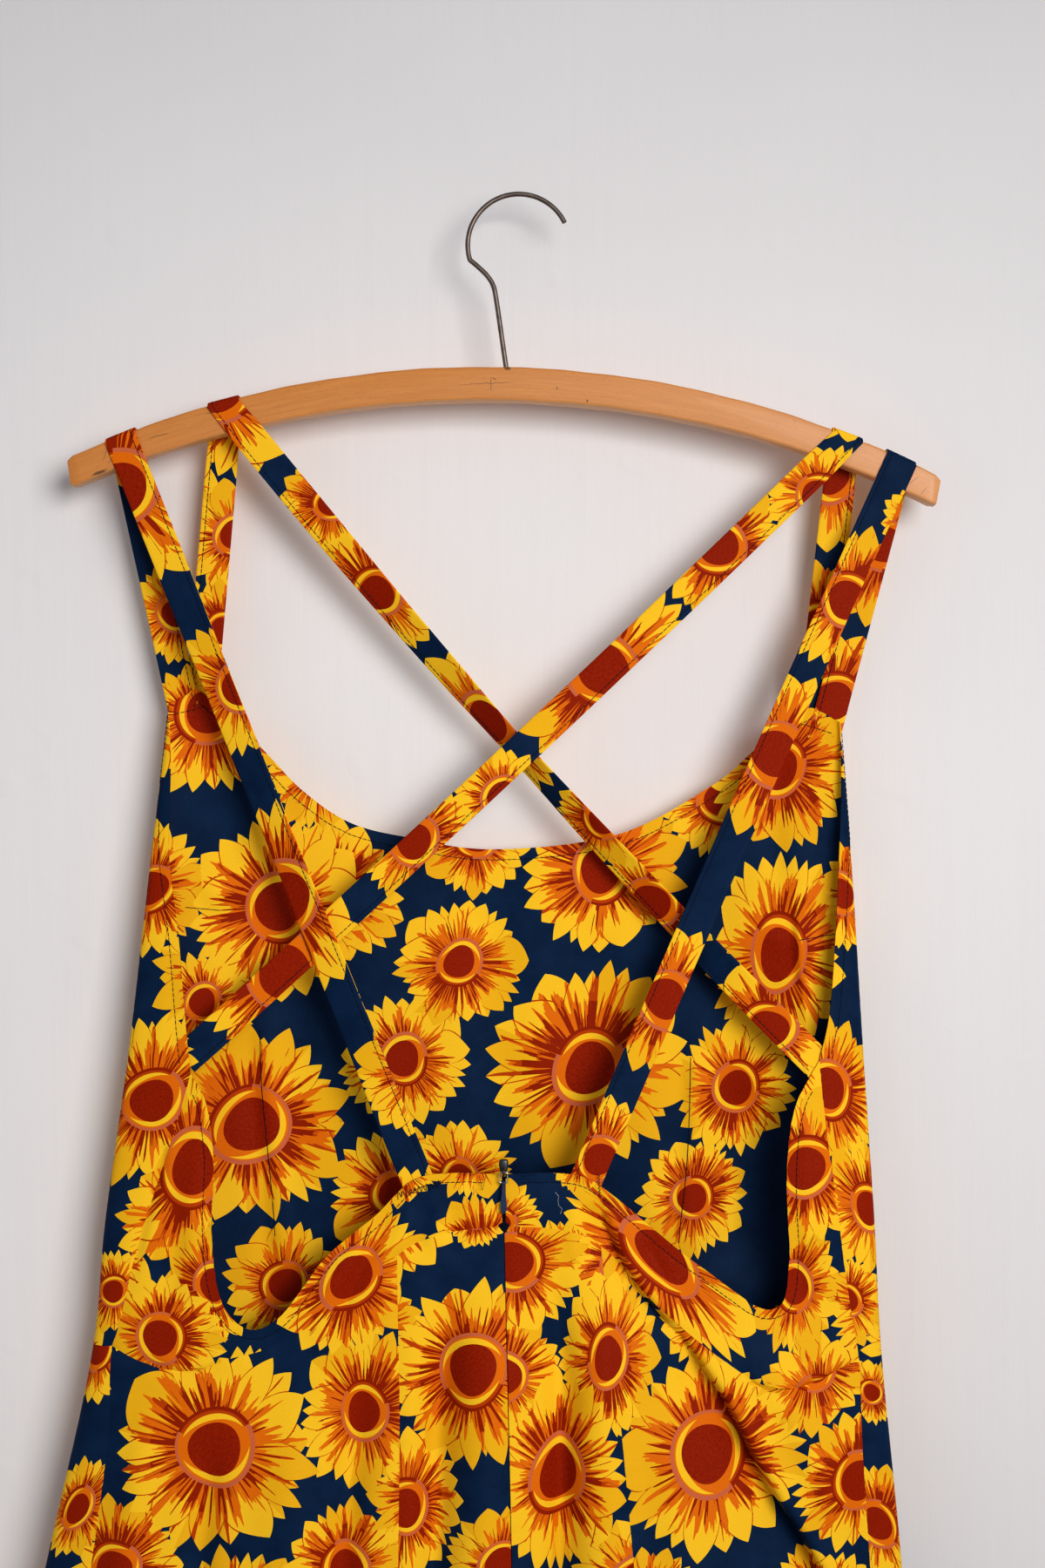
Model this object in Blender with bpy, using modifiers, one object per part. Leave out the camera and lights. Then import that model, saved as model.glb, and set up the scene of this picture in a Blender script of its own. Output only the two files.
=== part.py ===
"""A sleeveless pinafore dress with four narrow straps, hung back to front on a curved wooden hanger.

+Z is up and the frame's origin is the inside top of the hanger's hook, where it rests on a nail.
The dress shows its open back towards -Y, the near layer, and its front towards +Y, the far layer.
Every size below is in millimetres and is turned into metres when a mesh is made.
The cloth is one flattened tube: a ring of cloth at each height, cut into panels along the seams.
"""
import math

import bmesh
import bpy
import numpy as np
from mathutils import Matrix, Vector

MM = 0.001

# Cloth
WALL = 1.2
STRAP_WALL = 1.0
STRAP_WIDTH = 16.0
SEAM_GAP = 0.4
TOUCH_GAP = 0.3
ZIP_SLIT = 0.9
SHARP_DEGREES = 50.0

# The flattened tube: at each height, where its two folds are and how deep the two layers lie
LEVELS = (
    # height, left, right, near, middle, far
    (-240.0, -176.0, 159.0, -2.0, 4.0, 9.0),
    (-262.0, -177.0, 160.0, -4.0, 3.0, 9.5),
    (-338.0, -185.3, 165.2, -11.0, -1.0, 10.5),
    (-426.0, -195.0, 170.3, -17.0, -3.0, 12.0),
    (-513.0, -206.7, 175.8, -20.0, -4.5, 13.0),
    (-581.0, -213.6, 179.4, -22.0, -5.0, 14.0),
    (-688.0, -237.0, 189.6, -25.0, -5.0, 15.0),
    (-900.0, -284.0, 206.0, -28.0, -5.0, 18.0),
    (-1215.0, -342.0, 238.0, -31.0, -5.0, 22.0),
)
ROUNDNESS = 2.5
RING_STEPS = 240
NORMAL_STEP_U = 0.004
NORMAL_STEP_Z = 0.8

HEM_HEIGHT = -1211.0
FLUTES_START = -575.0
# Columns of the two pieces that wrap round both folds: close together at the folds
FOLD_COLUMNS = 7
FAR_COLUMNS = 18
FOLD_SHARE = 0.115

# Soft flutes of the skirt, which grow from the waist to the hem
FLUTES = (
    # layer, place (-1 left fold to 1 right fold), half width at the hem, depth at the hem
    ("near", -0.80, 42.0, 9.0),
    ("near", -0.50, 34.0, 12.0),
    ("near", -0.21, 40.0, 8.0),
    ("near", 0.12, 32.0, 11.0),
    ("near", 0.44, 36.0, 13.0),
    ("near", 0.77, 34.0, 8.0),
    ("far", -0.68, 40.0, 10.0),
    ("far", -0.33, 36.0, 12.0),
    ("far", 0.02, 42.0, 9.0),
    ("far", 0.36, 34.0, 12.0),
    ("far", 0.70, 36.0, 9.0),
)

# Drape folds of the back, which hang from the strap ends: a ridge beside a trough
DRAPES = (
    # top x, top z, low x, low z, half width, depth
    (44.0, -500.0, 146.0, -672.0, 13.0, 6.5),
    (-56.0, -498.0, -96.0, -700.0, 14.0, 2.5),
    (136.0, -588.0, 176.0, -566.0, 7.0, 2.2),
)

# Seams and edges of the back, from the zip out to each side
LEFT_BACK = (
    # waist x, waist z, edge x, edge z
    (-8.2, -512.2, -8.4, -486.8),
    (-29.2, -514.4, -33.5, -486.0),
    (-46.4, -518.7, -53.3, -489.8),
    (-60.8, -526.2, -72.0, -507.4),
    (-80.0, -544.1, -94.6, -526.0),
    (-95.9, -557.8, -107.5, -542.8),
    (-113.1, -568.1, -119.2, -557.4),
    (-129.9, -574.4, -132.1, -563.4),
    (-142.0, -577.3, -143.4, -556.5),
    (-151.4, -580.3, -149.7, -541.9),
    (-161.7, -583.4, -152.6, -513.9),
    (-173.4, -583.9, -151.8, -479.5),
    (-186.3, -580.6, -155.7, -452.3),
    (-202.6, -573.4, -163.4, -438.0),
)
RIGHT_BACK = (
    # waist x, waist z, edge x, edge z
    (-8.2, -512.2, -8.4, -486.8),
    (11.6, -513.1, 13.8, -486.0),
    (26.7, -515.6, 31.2, -488.1),
    (39.4, -522.8, 44.6, -496.4),
    (56.8, -539.8, 64.1, -512.6),
    (69.7, -552.7, 79.6, -525.4),
    (82.6, -564.7, 92.9, -535.0),
    (96.4, -575.4, 106.3, -545.1),
    (108.4, -583.6, 115.4, -551.6),
    (120.5, -589.5, 123.6, -553.7),
    (132.1, -592.0, 130.2, -548.2),
    (142.8, -590.6, 132.5, -526.8),
    (152.3, -587.0, 131.4, -488.1),
    (160.0, -582.6, 135.3, -455.9),
    (167.6, -579.0, 148.1, -431.5),
)
PRINCESS_ROW = 3
BAND_STEPS_PER_ROW = 2
BAND_ROWS = 6

# Side seams above the waist, from the waist up to the top of the back
LEFT_SEAM = (
    # x, z
    (-202.6, -573.4),
    (-198.3, -560.0),
    (-189.6, -521.9),
    (-183.2, -502.4),
    (-173.6, -474.0),
    (-163.4, -438.0),
)
RIGHT_SEAM = (
    # x, z
    (167.6, -579.0),
    (164.1, -558.7),
    (159.8, -530.5),
    (156.3, -502.4),
    (151.8, -472.1),
    (148.1, -431.5),
)

# Armhole edges of the front, from the top of the side seam up to the top corners
LEFT_ARMHOLE = (
    # x, z
    (-163.4, -438.0),
    (-166.6, -408.0),
    (-170.2, -370.0),
    (-175.4, -330.0),
    (-175.2, -287.6),
    (-176.6, -254.0),
)
RIGHT_ARMHOLE = (
    # x, z
    (148.1, -431.5),
    (153.4, -408.0),
    (156.6, -370.0),
    (158.6, -333.2),
    (160.2, -296.0),
    (160.0, -263.5),
)
# Top edge of the front, from right to left: corner, scooped neckline, corner
NECKLINE = (
    # x, z
    (160.0, -263.5),
    (151.0, -258.0),
    (142.3, -257.6),
    (118.1, -277.4),
    (96.5, -295.4),
    (48.9, -320.1),
    (-13.7, -327.6),
    (-58.2, -321.4),
    (-86.8, -313.9),
    (-110.6, -297.6),
    (-132.2, -275.2),
    (-160.4, -248.4),
    (-168.8, -249.6),
    (-176.6, -254.0),
)
ARMHOLE_ROWS = 8

# Seams of the back of the skirt, from the waist down to the hem
SKIRT_ROWS = 11
SKIRT_SEAMS = (
    # seam, x at the waist, x at 688 mm down, x at the hem
    ("left_side", -202.6, -213.0, -296.0),
    ("left_princess", -60.8, -60.4, -74.0),
    ("centre", -8.2, -4.4, 8.0),
    ("right_princess", 39.4, 56.0, 100.0),
    ("right_side", 167.6, 173.0, 206.0),
)
SEAM_MIDDLE = -688.0

# Zip
ZIP_TAPE_WIDTH = 22.0
ZIP_TAPE_WALL = 0.8
ZIP_TAPE_TOP = -488.0
ZIP_TAPE_LOW = -690.0
SLIDER_X = -8.4
SLIDER_WIDTH = 4.6
SLIDER_DEPTH = 2.6
SLIDER_TOP = -479.4
SLIDER_LOW = -486.2
BRIDGE_RADIUS = 1.9
BRIDGE_WIRE = 0.5
PULL_AXIS_Y = -22.9
PULL_AXIS_Z = -485.2
LOOP_WIRE = 0.35
LOOP_HALF_WIDTH = 1.9
LOOP_HEIGHT = 5.2
TAB_HEAD_RADIUS = 0.95
TAB_BORE = 0.65
TAB_LENGTH = 15.2
TAB_HALF_WIDTH = 1.6
TAB_WALL = 1.0

# Hanger
BAR_RADIUS = 498.0
BAR_TOP = (-7.2, -86.4)
BAR_TILT = math.radians(-1.25)
BAR_HALF_ANGLE = math.radians(26.0)
BAR_END_LEAN = math.radians(0.5)
BAR_HEIGHT_MIDDLE = 16.6
BAR_HEIGHT_END = 14.0
BAR_DEPTH = 12.0
BAR_EDGE = 2.2
BAR_STEPS = 22
HOOK_WIRE = 1.25
HOOK_CENTRE = (-1.0, -24.35)
HOOK_RADIUS = 25.6
HOOK_TIP_ANGLE = math.radians(26.0)
HOOK_BACK_ANGLE = math.radians(197.0)
HOOK_ARC_STEPS = 22
HOOK_NECK = (
    # x, z
    (-22.1, -34.6),
    (-17.2, -39.3),
    (-14.0, -44.2),
    (-12.4, -51.0),
    (-9.9, -68.0),
    (-7.3, -86.0),
)
HOOK_END = (-5.0, -101.8)
HOOK_BORE = 1.55
HEAD_RADIUS = 2.1
HEAD_HEIGHT = 1.0
RECESS_RADIUS = 2.5

# Straps: where each crosses the bar, where its two ends are sewn, and how it lies between
STRAPS = (
    # name, bar x, near x, near z, near bow, near sag, twist, far x, far z, far layer
    ("strap_outer_left", -199.8, -48.6, -496.0, 0.0, -2.4, 22.0, -169.0, -262.0, 0),
    ("strap_inner_left", -148.4, 151.0, -437.0, -6.2, 5.4, 46.0, -162.5, -262.0, 1),
    ("strap_inner_right", 163.1, -167.0, -431.5, 2.5, -3.4, 4.0, 146.5, -271.0, 1),
    ("strap_outer_right", 189.9, 30.0, -495.0, -1.2, 0.0, 5.0, 152.5, -273.0, 0),
)
NEAR_STEPS = 20
FAR_STEPS = 7
SEWN_LENGTH = 11.0
SEWN_SLACK = 0.4

COLOURS = {
    # material: red, green, blue, roughness, metallic
    "print_cloth": (0.56, 0.30, 0.05, 0.55, 0.0),
    "back_cloth": (0.50, 0.24, 0.05, 0.55, 0.0),
    "skirt_cloth": (0.10, 0.14, 0.22, 0.55, 0.0),
    "strap_cloth": (0.72, 0.42, 0.05, 0.55, 0.0),
    "zip_cloth": (0.03, 0.04, 0.07, 0.8, 0.0),
    "slider_metal": (0.05, 0.05, 0.06, 0.4, 0.8),
    "loop_metal": (0.55, 0.53, 0.50, 0.3, 1.0),
    "tab_enamel": (0.03, 0.05, 0.14, 0.25, 0.2),
    "hanger_wood": (0.62, 0.34, 0.14, 0.45, 0.0),
    "hook_steel": (0.22, 0.18, 0.15, 0.35, 1.0),
}


def clear_scene():
    for obj in list(bpy.data.objects):
        bpy.data.objects.remove(obj, do_unlink=True)


def new_collection(name):
    collection = bpy.data.collections.new(name)
    bpy.context.scene.collection.children.link(collection)
    return collection


def material(name):
    """A plain Principled material, one for each sub-part."""
    found = bpy.data.materials.get(name)
    if found:
        return found
    red, green, blue, roughness, metallic = COLOURS[name]
    made = bpy.data.materials.new(name)
    made.use_nodes = True
    shader = made.node_tree.nodes["Principled BSDF"]
    shader.inputs["Base Color"].default_value = (red, green, blue, 1.0)
    shader.inputs["Roughness"].default_value = roughness
    shader.inputs["Metallic"].default_value = metallic
    return made


def through(points, steps_per_span):
    """A smooth curve through the given points, with even steps between each two of them."""
    knots = np.asarray(points, dtype=float)
    ends = np.vstack([2 * knots[0] - knots[1], knots, 2 * knots[-1] - knots[-2]])
    curve = []
    for span in range(len(knots) - 1):
        before, start, stop, after = ends[span:span + 4]
        for step in range(steps_per_span):
            t = step / steps_per_span
            curve.append(0.5 * (2 * start + (stop - before) * t
                                + (2 * before - 5 * start + 4 * stop - after) * t ** 2
                                + (3 * start - before - 3 * stop + after) * t ** 3))
    curve.append(knots[-1])
    return np.array(curve)


def spaced(points, shares):
    """The smooth curve through the points, read at the given shares of its length."""
    fine = through(points, 24)
    lengths = np.concatenate([[0.0], np.cumsum(np.linalg.norm(np.diff(fine, axis=0), axis=1))])
    wanted = np.asarray(shares) * lengths[-1]
    return np.column_stack([np.interp(wanted, lengths, fine[:, axis]) for axis in range(2)])


def even(points, count):
    """The smooth curve through the points, as count equal lengths."""
    return spaced(points, np.linspace(0.0, 1.0, count + 1))


def round_shares():
    """Shares of the way round a piece that wraps both folds, from one side seam to the other."""
    fold = np.linspace(0.0, FOLD_SHARE, FOLD_COLUMNS + 1)
    far = np.linspace(FOLD_SHARE, 1 - FOLD_SHARE, FAR_COLUMNS + 1)
    return np.concatenate([fold[:-1], far[:-1], 1 - fold[::-1]])


def smooth(value, low, high):
    """A soft step from 0 at low to 1 at high."""
    t = min(max((value - low) / (high - low), 0.0), 1.0)
    return t * t * (3 - 2 * t)


LEVEL_CURVE = through(LEVELS, 12)


def level(z):
    """Left fold, right fold, near, middle and far depth of the tube at height z."""
    heights = LEVEL_CURVE[::-1, 0]
    return [np.interp(z, heights, LEVEL_CURVE[::-1, column]) for column in range(1, 6)]


def lift(x, z, layer):
    """How far the cloth stands out of the plain tube at a place, from its flutes and drape folds."""
    left, right, near, middle, far = level(z)
    half = 0.5 * (right - left)
    place = (x - 0.5 * (left + right)) / half
    hem_left, hem_right = level(HEM_HEIGHT)[:2]
    grown = smooth(-z, -FLUTES_START, -HEM_HEIGHT)
    out = 0.0
    for flute_layer, centre, width, depth in FLUTES:
        if flute_layer == layer:
            offset = (place - centre) * 0.5 * (hem_right - hem_left) / width
            out += grown * depth * math.exp(-offset * offset)
    if layer == "near":
        for top_x, top_z, low_x, low_z, width, depth in DRAPES:
            run = Vector((low_x - top_x, low_z - top_z))
            offset = Vector((x - top_x, z - top_z))
            along = offset.dot(run) / run.length_squared
            side = (offset.x * run.y - offset.y * run.x) / run.length / width
            fade = smooth(along, -0.1, 0.25) * (1 - smooth(along, 0.75, 1.15))
            out += depth * fade * side * math.exp(0.5 - 0.5 * side * side)
    return out * smooth(1 - abs(place), 0.0, 0.16)


def ring(z):
    """The tube's section: places u, from 0 at the left fold over the near layer to 1 at the right
    fold, and back over the far layer to 2, with their x and y."""
    left, right, near, middle, far = level(z)
    angle = np.linspace(0.0, 2 * math.pi, 2 * RING_STEPS + 1)
    cosine, sine = np.cos(angle), np.sin(angle)
    power = 2.0 / ROUNDNESS
    x = 0.5 * (left + right) - 0.5 * (right - left) * np.sign(cosine) * np.abs(cosine) ** power
    depth = np.where(angle <= math.pi, near - middle, far - middle)
    y = middle + depth * np.abs(sine) ** power
    lengths = np.concatenate([[0.0], np.cumsum(np.hypot(np.diff(x), np.diff(y)))])
    half = lengths[RING_STEPS]
    u = np.where(lengths <= half, lengths / half, 1 + (lengths - half) / (lengths[-1] - half))
    return u, x, y


def near_place(x, z):
    """The place u of the near layer's point at x."""
    u, xs, ys = ring(z)
    return float(np.interp(x, xs[:RING_STEPS + 1], u[:RING_STEPS + 1]))


def far_place(x, z):
    """The place u of the far layer's point at x."""
    u, xs, ys = ring(z)
    return float(np.interp(x, xs[RING_STEPS:][::-1], u[RING_STEPS:][::-1]))


def tube_point(u, z):
    """The inner face of the cloth at place u and height z."""
    places, xs, ys = ring(z)
    around = u % 2.0
    x = float(np.interp(around, places, xs))
    y = float(np.interp(around, places, ys))
    if around <= 1.0:
        return Vector((x, y - lift(x, z, "near"), z))
    return Vector((x, y + lift(x, z, "far"), z))


def outward(u, z):
    """The direction out of the cloth at place u and height z."""
    across = tube_point(u + NORMAL_STEP_U, z) - tube_point(u - NORMAL_STEP_U, z)
    up = tube_point(u, z + NORMAL_STEP_Z) - tube_point(u, z - NORMAL_STEP_Z)
    return across.cross(up).normalized()


def near_depth(x, z):
    """The y of the near layer's inner face."""
    return tube_point(near_place(x, z), z).y


def far_depth(x, z):
    """The y of the far layer's inner face."""
    return tube_point(far_place(x, z), z).y


def near_line(points):
    """Points given as x, z on the near layer, as u, z."""
    return np.array([(near_place(x, z), z) for x, z in points])


def far_line(points):
    """Points given as x, z on the far layer, as u, z."""
    return np.array([(far_place(x, z), z) for x, z in points])


def grid_mesh(name, rows):
    """An open surface from rows of points in millimetres."""
    count = len(rows[0])
    points = [Vector(point) * MM for row in rows for point in row]
    faces = []
    for row in range(len(rows) - 1):
        for column in range(count - 1):
            first = row * count + column
            faces.append((first, first + count, first + count + 1, first + 1))
    mesh = bpy.data.meshes.new(name)
    mesh.from_pydata(points, [], faces)
    return mesh


def add_object(name, mesh, colour):
    made = bpy.data.objects.new(name, mesh)
    PART.objects.link(made)
    made.data.materials.clear()
    made.data.materials.append(material(colour))
    return made


def solidify(made, thickness, offset):
    shell = made.modifiers.new("wall", "SOLIDIFY")
    shell.thickness = thickness * MM
    shell.offset = offset
    shell.use_even_offset = True
    made.data.shade_smooth()
    made.data.set_sharp_from_angle(angle=math.radians(SHARP_DEGREES))


def wall_mesh(name, inner, outer):
    """A closed wall lofted between two grids of points in millimetres, with a rim round it."""
    rows, columns = len(inner), len(inner[0])
    points = [Vector(point) * MM for grid in (inner, outer) for row in grid for point in row]
    outer_start = rows * columns
    faces = []
    for row in range(rows - 1):
        for column in range(columns - 1):
            first = row * columns + column
            face = (first, first + columns, first + columns + 1, first + 1)
            faces.append(face)
            faces.append(tuple(outer_start + corner for corner in face[::-1]))
    last_row = (rows - 1) * columns
    rim = list(range(columns))
    rim += [row * columns + columns - 1 for row in range(1, rows)]
    rim += [last_row + column for column in range(columns - 2, -1, -1)]
    rim += [row * columns for row in range(rows - 2, 0, -1)]
    for here, there in zip(rim, rim[1:] + rim[:1]):
        faces.append((here, there, outer_start + there, outer_start + here))
    mesh = bpy.data.meshes.new(name)
    mesh.from_pydata(points, [], faces)
    return mesh


def panel(name, bottom, top, first, last, colour, shares=None):
    """A cloth panel stretched between four edges given as u, z: bottom and top run the same way
    round the tube, first and last run up. Its wall grows outwards."""
    columns, rows = len(bottom), len(first)
    if shares is None:
        shares = np.linspace(0.0, 1.0, columns)
    inner, outer = [], []
    for row in range(rows):
        v = row / (rows - 1)
        inner_line, outer_line = [], []
        for column, w in enumerate(shares):
            across = (1 - w) * first[row] + w * last[row]
            along = (1 - v) * bottom[column] + v * top[column]
            corners = ((1 - v) * ((1 - w) * bottom[0] + w * bottom[-1])
                       + v * ((1 - w) * top[0] + w * top[-1]))
            u, z = across + along - corners
            point = tube_point(u, z)
            inner_line.append(point)
            outer_line.append(point + WALL * outward(u, z))
        inner.append(inner_line)
        outer.append(outer_line)
    made = add_object(name, wall_mesh(name, inner, outer), colour)
    made.data.shade_smooth()
    made.data.set_sharp_from_angle(angle=math.radians(SHARP_DEGREES))
    return made


def between(start, stop, shares):
    """Points at the given shares of the straight way from start to stop."""
    shares = np.asarray(shares)[:, None]
    return (1 - shares) * start + shares * stop


def moved(points, along_x, along_z):
    return np.asarray(points) + np.array([along_x, along_z])


def back_rows(table):
    """Waist seam and open edge of one side of the back, from the zip to the side seam."""
    fine = through(table, BAND_STEPS_PER_ROW)
    return fine[:, 0:2], fine[:, 2:4]


def band(name, table, seam, side):
    """One half of the back bodice: side is -1 for the left half and 1 for the right half."""
    waist, edge = back_rows(table)
    waist = moved(waist, 0, 0.5 * SEAM_GAP)
    zip_shift = np.linspace(1.0, 0.0, len(waist)) ** 8 * side * 0.5 * ZIP_SLIT
    seam_shift = np.linspace(0.0, 1.0, len(waist)) ** 8 * -side * 0.5 * SEAM_GAP
    for line in (waist, edge):
        line[:, 0] += zip_shift + seam_shift
    outer = even(seam, BAND_ROWS)
    outer = outer + np.array([-side * 0.5 * SEAM_GAP, 0.0])
    outer[0], outer[-1] = waist[-1], edge[-1]
    inner = np.linspace(waist[0], edge[0], BAND_ROWS + 1)
    lines = [near_line(line) for line in (waist, edge, inner, outer)]
    if side < 0:
        return panel(name, lines[0][::-1], lines[1][::-1], lines[3], lines[2], "back_cloth")
    return panel(name, lines[0], lines[1], lines[2], lines[3], "back_cloth")


def seam_x(name, z):
    """The x of one of the skirt's seams at height z."""
    for seam, at_waist, at_middle, at_hem in SKIRT_SEAMS:
        if seam == name:
            waist_z = WAIST_ENDS[name]
            knots = ((waist_z, at_waist), (SEAM_MIDDLE, at_middle), (HEM_HEIGHT, at_hem))
            curve = through(knots, 12)[::-1]
            return float(np.interp(z, curve[:, 0], curve[:, 1]))
    raise ValueError(name)


WAIST_ENDS = {
    # seam: height where it meets the waist seam
    "left_side": LEFT_BACK[-1][1],
    "left_princess": LEFT_BACK[PRINCESS_ROW][1],
    "centre": LEFT_BACK[0][1],
    "right_princess": RIGHT_BACK[PRINCESS_ROW][1],
    "right_side": RIGHT_BACK[-1][1],
}


def seam_rows(name, shift):
    """A skirt seam from the hem up to the waist, as x, z, moved sideways by shift."""
    top = WAIST_ENDS[name] - 0.5 * SEAM_GAP
    heights = np.linspace(HEM_HEIGHT, top, SKIRT_ROWS + 1)
    return np.array([(seam_x(name, z) + shift, z) for z in heights])


def skirt_back(name, waist, left, left_shift, right, right_shift):
    """A panel of the skirt's back between two seams; waist runs from left to right."""
    first = seam_rows(left, left_shift)
    last = seam_rows(right, right_shift)
    top = moved(waist, 0, -0.5 * SEAM_GAP)
    top[0], top[-1] = first[-1], last[-1]
    hem = np.column_stack([np.linspace(first[0][0], last[0][0], len(top)),
                           np.full(len(top), HEM_HEIGHT)])
    panel(name, near_line(hem), near_line(top), near_line(first), near_line(last), "skirt_cloth")


def make_skirt():
    left_waist, left_edge = back_rows(LEFT_BACK)
    right_waist, right_edge = back_rows(RIGHT_BACK)
    split = PRINCESS_ROW * BAND_STEPS_PER_ROW
    seam, slit = 0.5 * SEAM_GAP, 0.5 * ZIP_SLIT
    skirt_back("skirt_back_side_left", left_waist[split:][::-1],
               "left_side", seam, "left_princess", -seam)
    skirt_back("skirt_back_centre_left", left_waist[:split + 1][::-1],
               "left_princess", seam, "centre", -slit)
    skirt_back("skirt_back_centre_right", right_waist[:split + 1],
               "centre", slit, "right_princess", -seam)
    skirt_back("skirt_back_side_right", right_waist[split:],
               "right_princess", seam, "right_side", -seam)
    first = near_line(seam_rows("right_side", seam))
    last = near_line(seam_rows("left_side", -seam)) + np.array([2.0, 0.0])
    shares = round_shares()
    hem = between(first[0], last[0], shares)
    top = between(first[-1], last[-1], shares)
    panel("skirt_front", hem, top, first, last, "skirt_cloth", shares)


def make_front():
    """The front bodice runs from the right side seam round the far layer to the left one."""
    sides = []
    for seam, armhole, shift in ((RIGHT_SEAM, RIGHT_ARMHOLE, 1), (LEFT_SEAM, LEFT_ARMHOLE, -1)):
        low = even(seam, BAND_ROWS)
        high = even(armhole, ARMHOLE_ROWS)
        line = moved(np.vstack([low, high[1:]]), shift * 0.5 * SEAM_GAP, 0)
        line[0][1] += 0.5 * SEAM_GAP
        sides.append(near_line(line))
    first, last = sides
    last = last + np.array([2.0, 0.0])
    shares = round_shares()
    top = far_line(spaced(NECKLINE, shares))
    top[0], top[-1] = first[-1], last[-1]
    bottom = between(first[0], last[0], shares)
    panel("bodice_front", bottom, top, first, last, "print_cloth", shares)


def bar_frame():
    """Turns a point given across and along the bar's arc into x, z."""
    centre = Vector((BAR_TOP[0], BAR_TOP[1])) - Matrix.Rotation(BAR_TILT, 2) @ Vector((0, BAR_RADIUS))

    def place(angle, radius):
        turned = Matrix.Rotation(BAR_TILT, 2) @ Vector((math.sin(angle), math.cos(angle)))
        return centre + float(radius) * turned

    return place


def bar_top(x):
    """Height and slope of the bar's top edge at x."""
    place = bar_frame()
    centre = place(0.0, 0.0)
    across = x - centre.x
    rise = math.sqrt(BAR_RADIUS ** 2 - across ** 2)
    return centre.y + rise, -across / rise


def bar_height(angle):
    share = (angle / BAR_HALF_ANGLE) ** 2
    return BAR_HEIGHT_MIDDLE + (BAR_HEIGHT_END - BAR_HEIGHT_MIDDLE) * share


def evaluated(obj):
    """A mesh object made from a curve or from an object with modifiers, with its caps welded."""
    graph = bpy.context.evaluated_depsgraph_get()
    mesh = bpy.data.meshes.new_from_object(obj.evaluated_get(graph))
    mesh.name = obj.name
    return mesh


def weld(mesh):
    work = bmesh.new()
    work.from_mesh(mesh)
    bmesh.ops.remove_doubles(work, verts=work.verts, dist=0.00001)
    bmesh.ops.recalc_face_normals(work, faces=work.faces)
    work.to_mesh(mesh)
    work.free()


def boolean(obj, cutter, operation):
    cut = obj.modifiers.new(cutter.name, "BOOLEAN")
    cut.operation = operation
    cut.object = cutter
    cut.solver = "EXACT"


def guide(obj):
    """Keep a cutter out of the part."""
    for collection in list(obj.users_collection):
        collection.objects.unlink(obj)
    CUTTERS.objects.link(obj)
    obj.hide_render = True
    obj.display_type = "WIRE"
    return obj


def cylinder(name, radius, start, stop, sides):
    """A capped cylinder between two points."""
    start, stop = Vector(start) * MM, Vector(stop) * MM
    bpy.ops.mesh.primitive_cylinder_add(vertices=sides, radius=radius * MM,
                                        depth=(stop - start).length)
    made = bpy.context.object
    made.name = name
    made.rotation_euler = (stop - start).to_track_quat("Z", "Y").to_euler()
    made.location = 0.5 * (start + stop)
    return made


def wire_mesh(name, points, radius, cyclic=False):
    """A round wire through the points, as a closed mesh."""
    curve = bpy.data.curves.new(name, "CURVE")
    curve.dimensions = "3D"
    curve.bevel_depth = radius * MM
    curve.bevel_resolution = 2
    curve.use_fill_caps = not cyclic
    spline = curve.splines.new("POLY")
    spline.points.add(len(points) - 1)
    for knot, point in zip(spline.points, points):
        knot.co = (*(Vector(point) * MM), 1.0)
    spline.use_cyclic_u = cyclic
    holder = bpy.data.objects.new(name, curve)
    PART.objects.link(holder)
    mesh = evaluated(holder)
    weld(mesh)
    bpy.data.objects.remove(holder)
    return mesh


def make_bar():
    """The curved bar is a flat outline with rounded edges, bored for the hook."""
    place = bar_frame()
    curve = bpy.data.curves.new("hanger_bar", "CURVE")
    curve.dimensions = "2D"
    curve.fill_mode = "BOTH"
    curve.extrude = (0.5 * BAR_DEPTH - BAR_EDGE) * MM
    curve.bevel_depth = BAR_EDGE * MM
    curve.bevel_resolution = 1
    curve.offset = -BAR_EDGE * MM
    angles = np.linspace(-BAR_HALF_ANGLE, BAR_HALF_ANGLE, BAR_STEPS + 1)
    upper = [place(angle, BAR_RADIUS) for angle in angles]
    lean = 1 + BAR_END_LEAN / BAR_HALF_ANGLE
    lower = [place(angle * lean, BAR_RADIUS - bar_height(angle)) for angle in angles[::-1]]
    spline = curve.splines.new("POLY")
    outline = upper + lower
    spline.points.add(len(outline) - 1)
    for knot, point in zip(spline.points, outline):
        knot.co = (point.x * MM, point.y * MM, 0.0, 1.0)
    spline.use_cyclic_u = True
    holder = bpy.data.objects.new("hanger_bar_outline", curve)
    PART.objects.link(holder)
    mesh = evaluated(holder)
    weld(mesh)
    mesh.transform(Matrix.Rotation(math.radians(90), 4, "X"))
    bpy.data.objects.remove(holder)
    bar = add_object("hanger_bar", mesh, "hanger_wood")
    along = Vector((HOOK_END[0] - HOOK_NECK[-1][0], 0.0, HOOK_END[1] - HOOK_NECK[-1][1])).normalized()
    end = Vector((HOOK_END[0], 0.0, HOOK_END[1]))
    boolean(bar, guide(cylinder("hook_bore", HOOK_BORE, end - 30 * along, end + 12 * along, 16)),
            "DIFFERENCE")
    roof = end - TOUCH_GAP * along - HEAD_HEIGHT * along
    boolean(bar, guide(cylinder("head_recess", RECESS_RADIUS, roof, roof + 9 * along, 16)),
            "DIFFERENCE")
    mesh.shade_smooth()
    mesh.set_sharp_from_angle(angle=math.radians(35))


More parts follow.
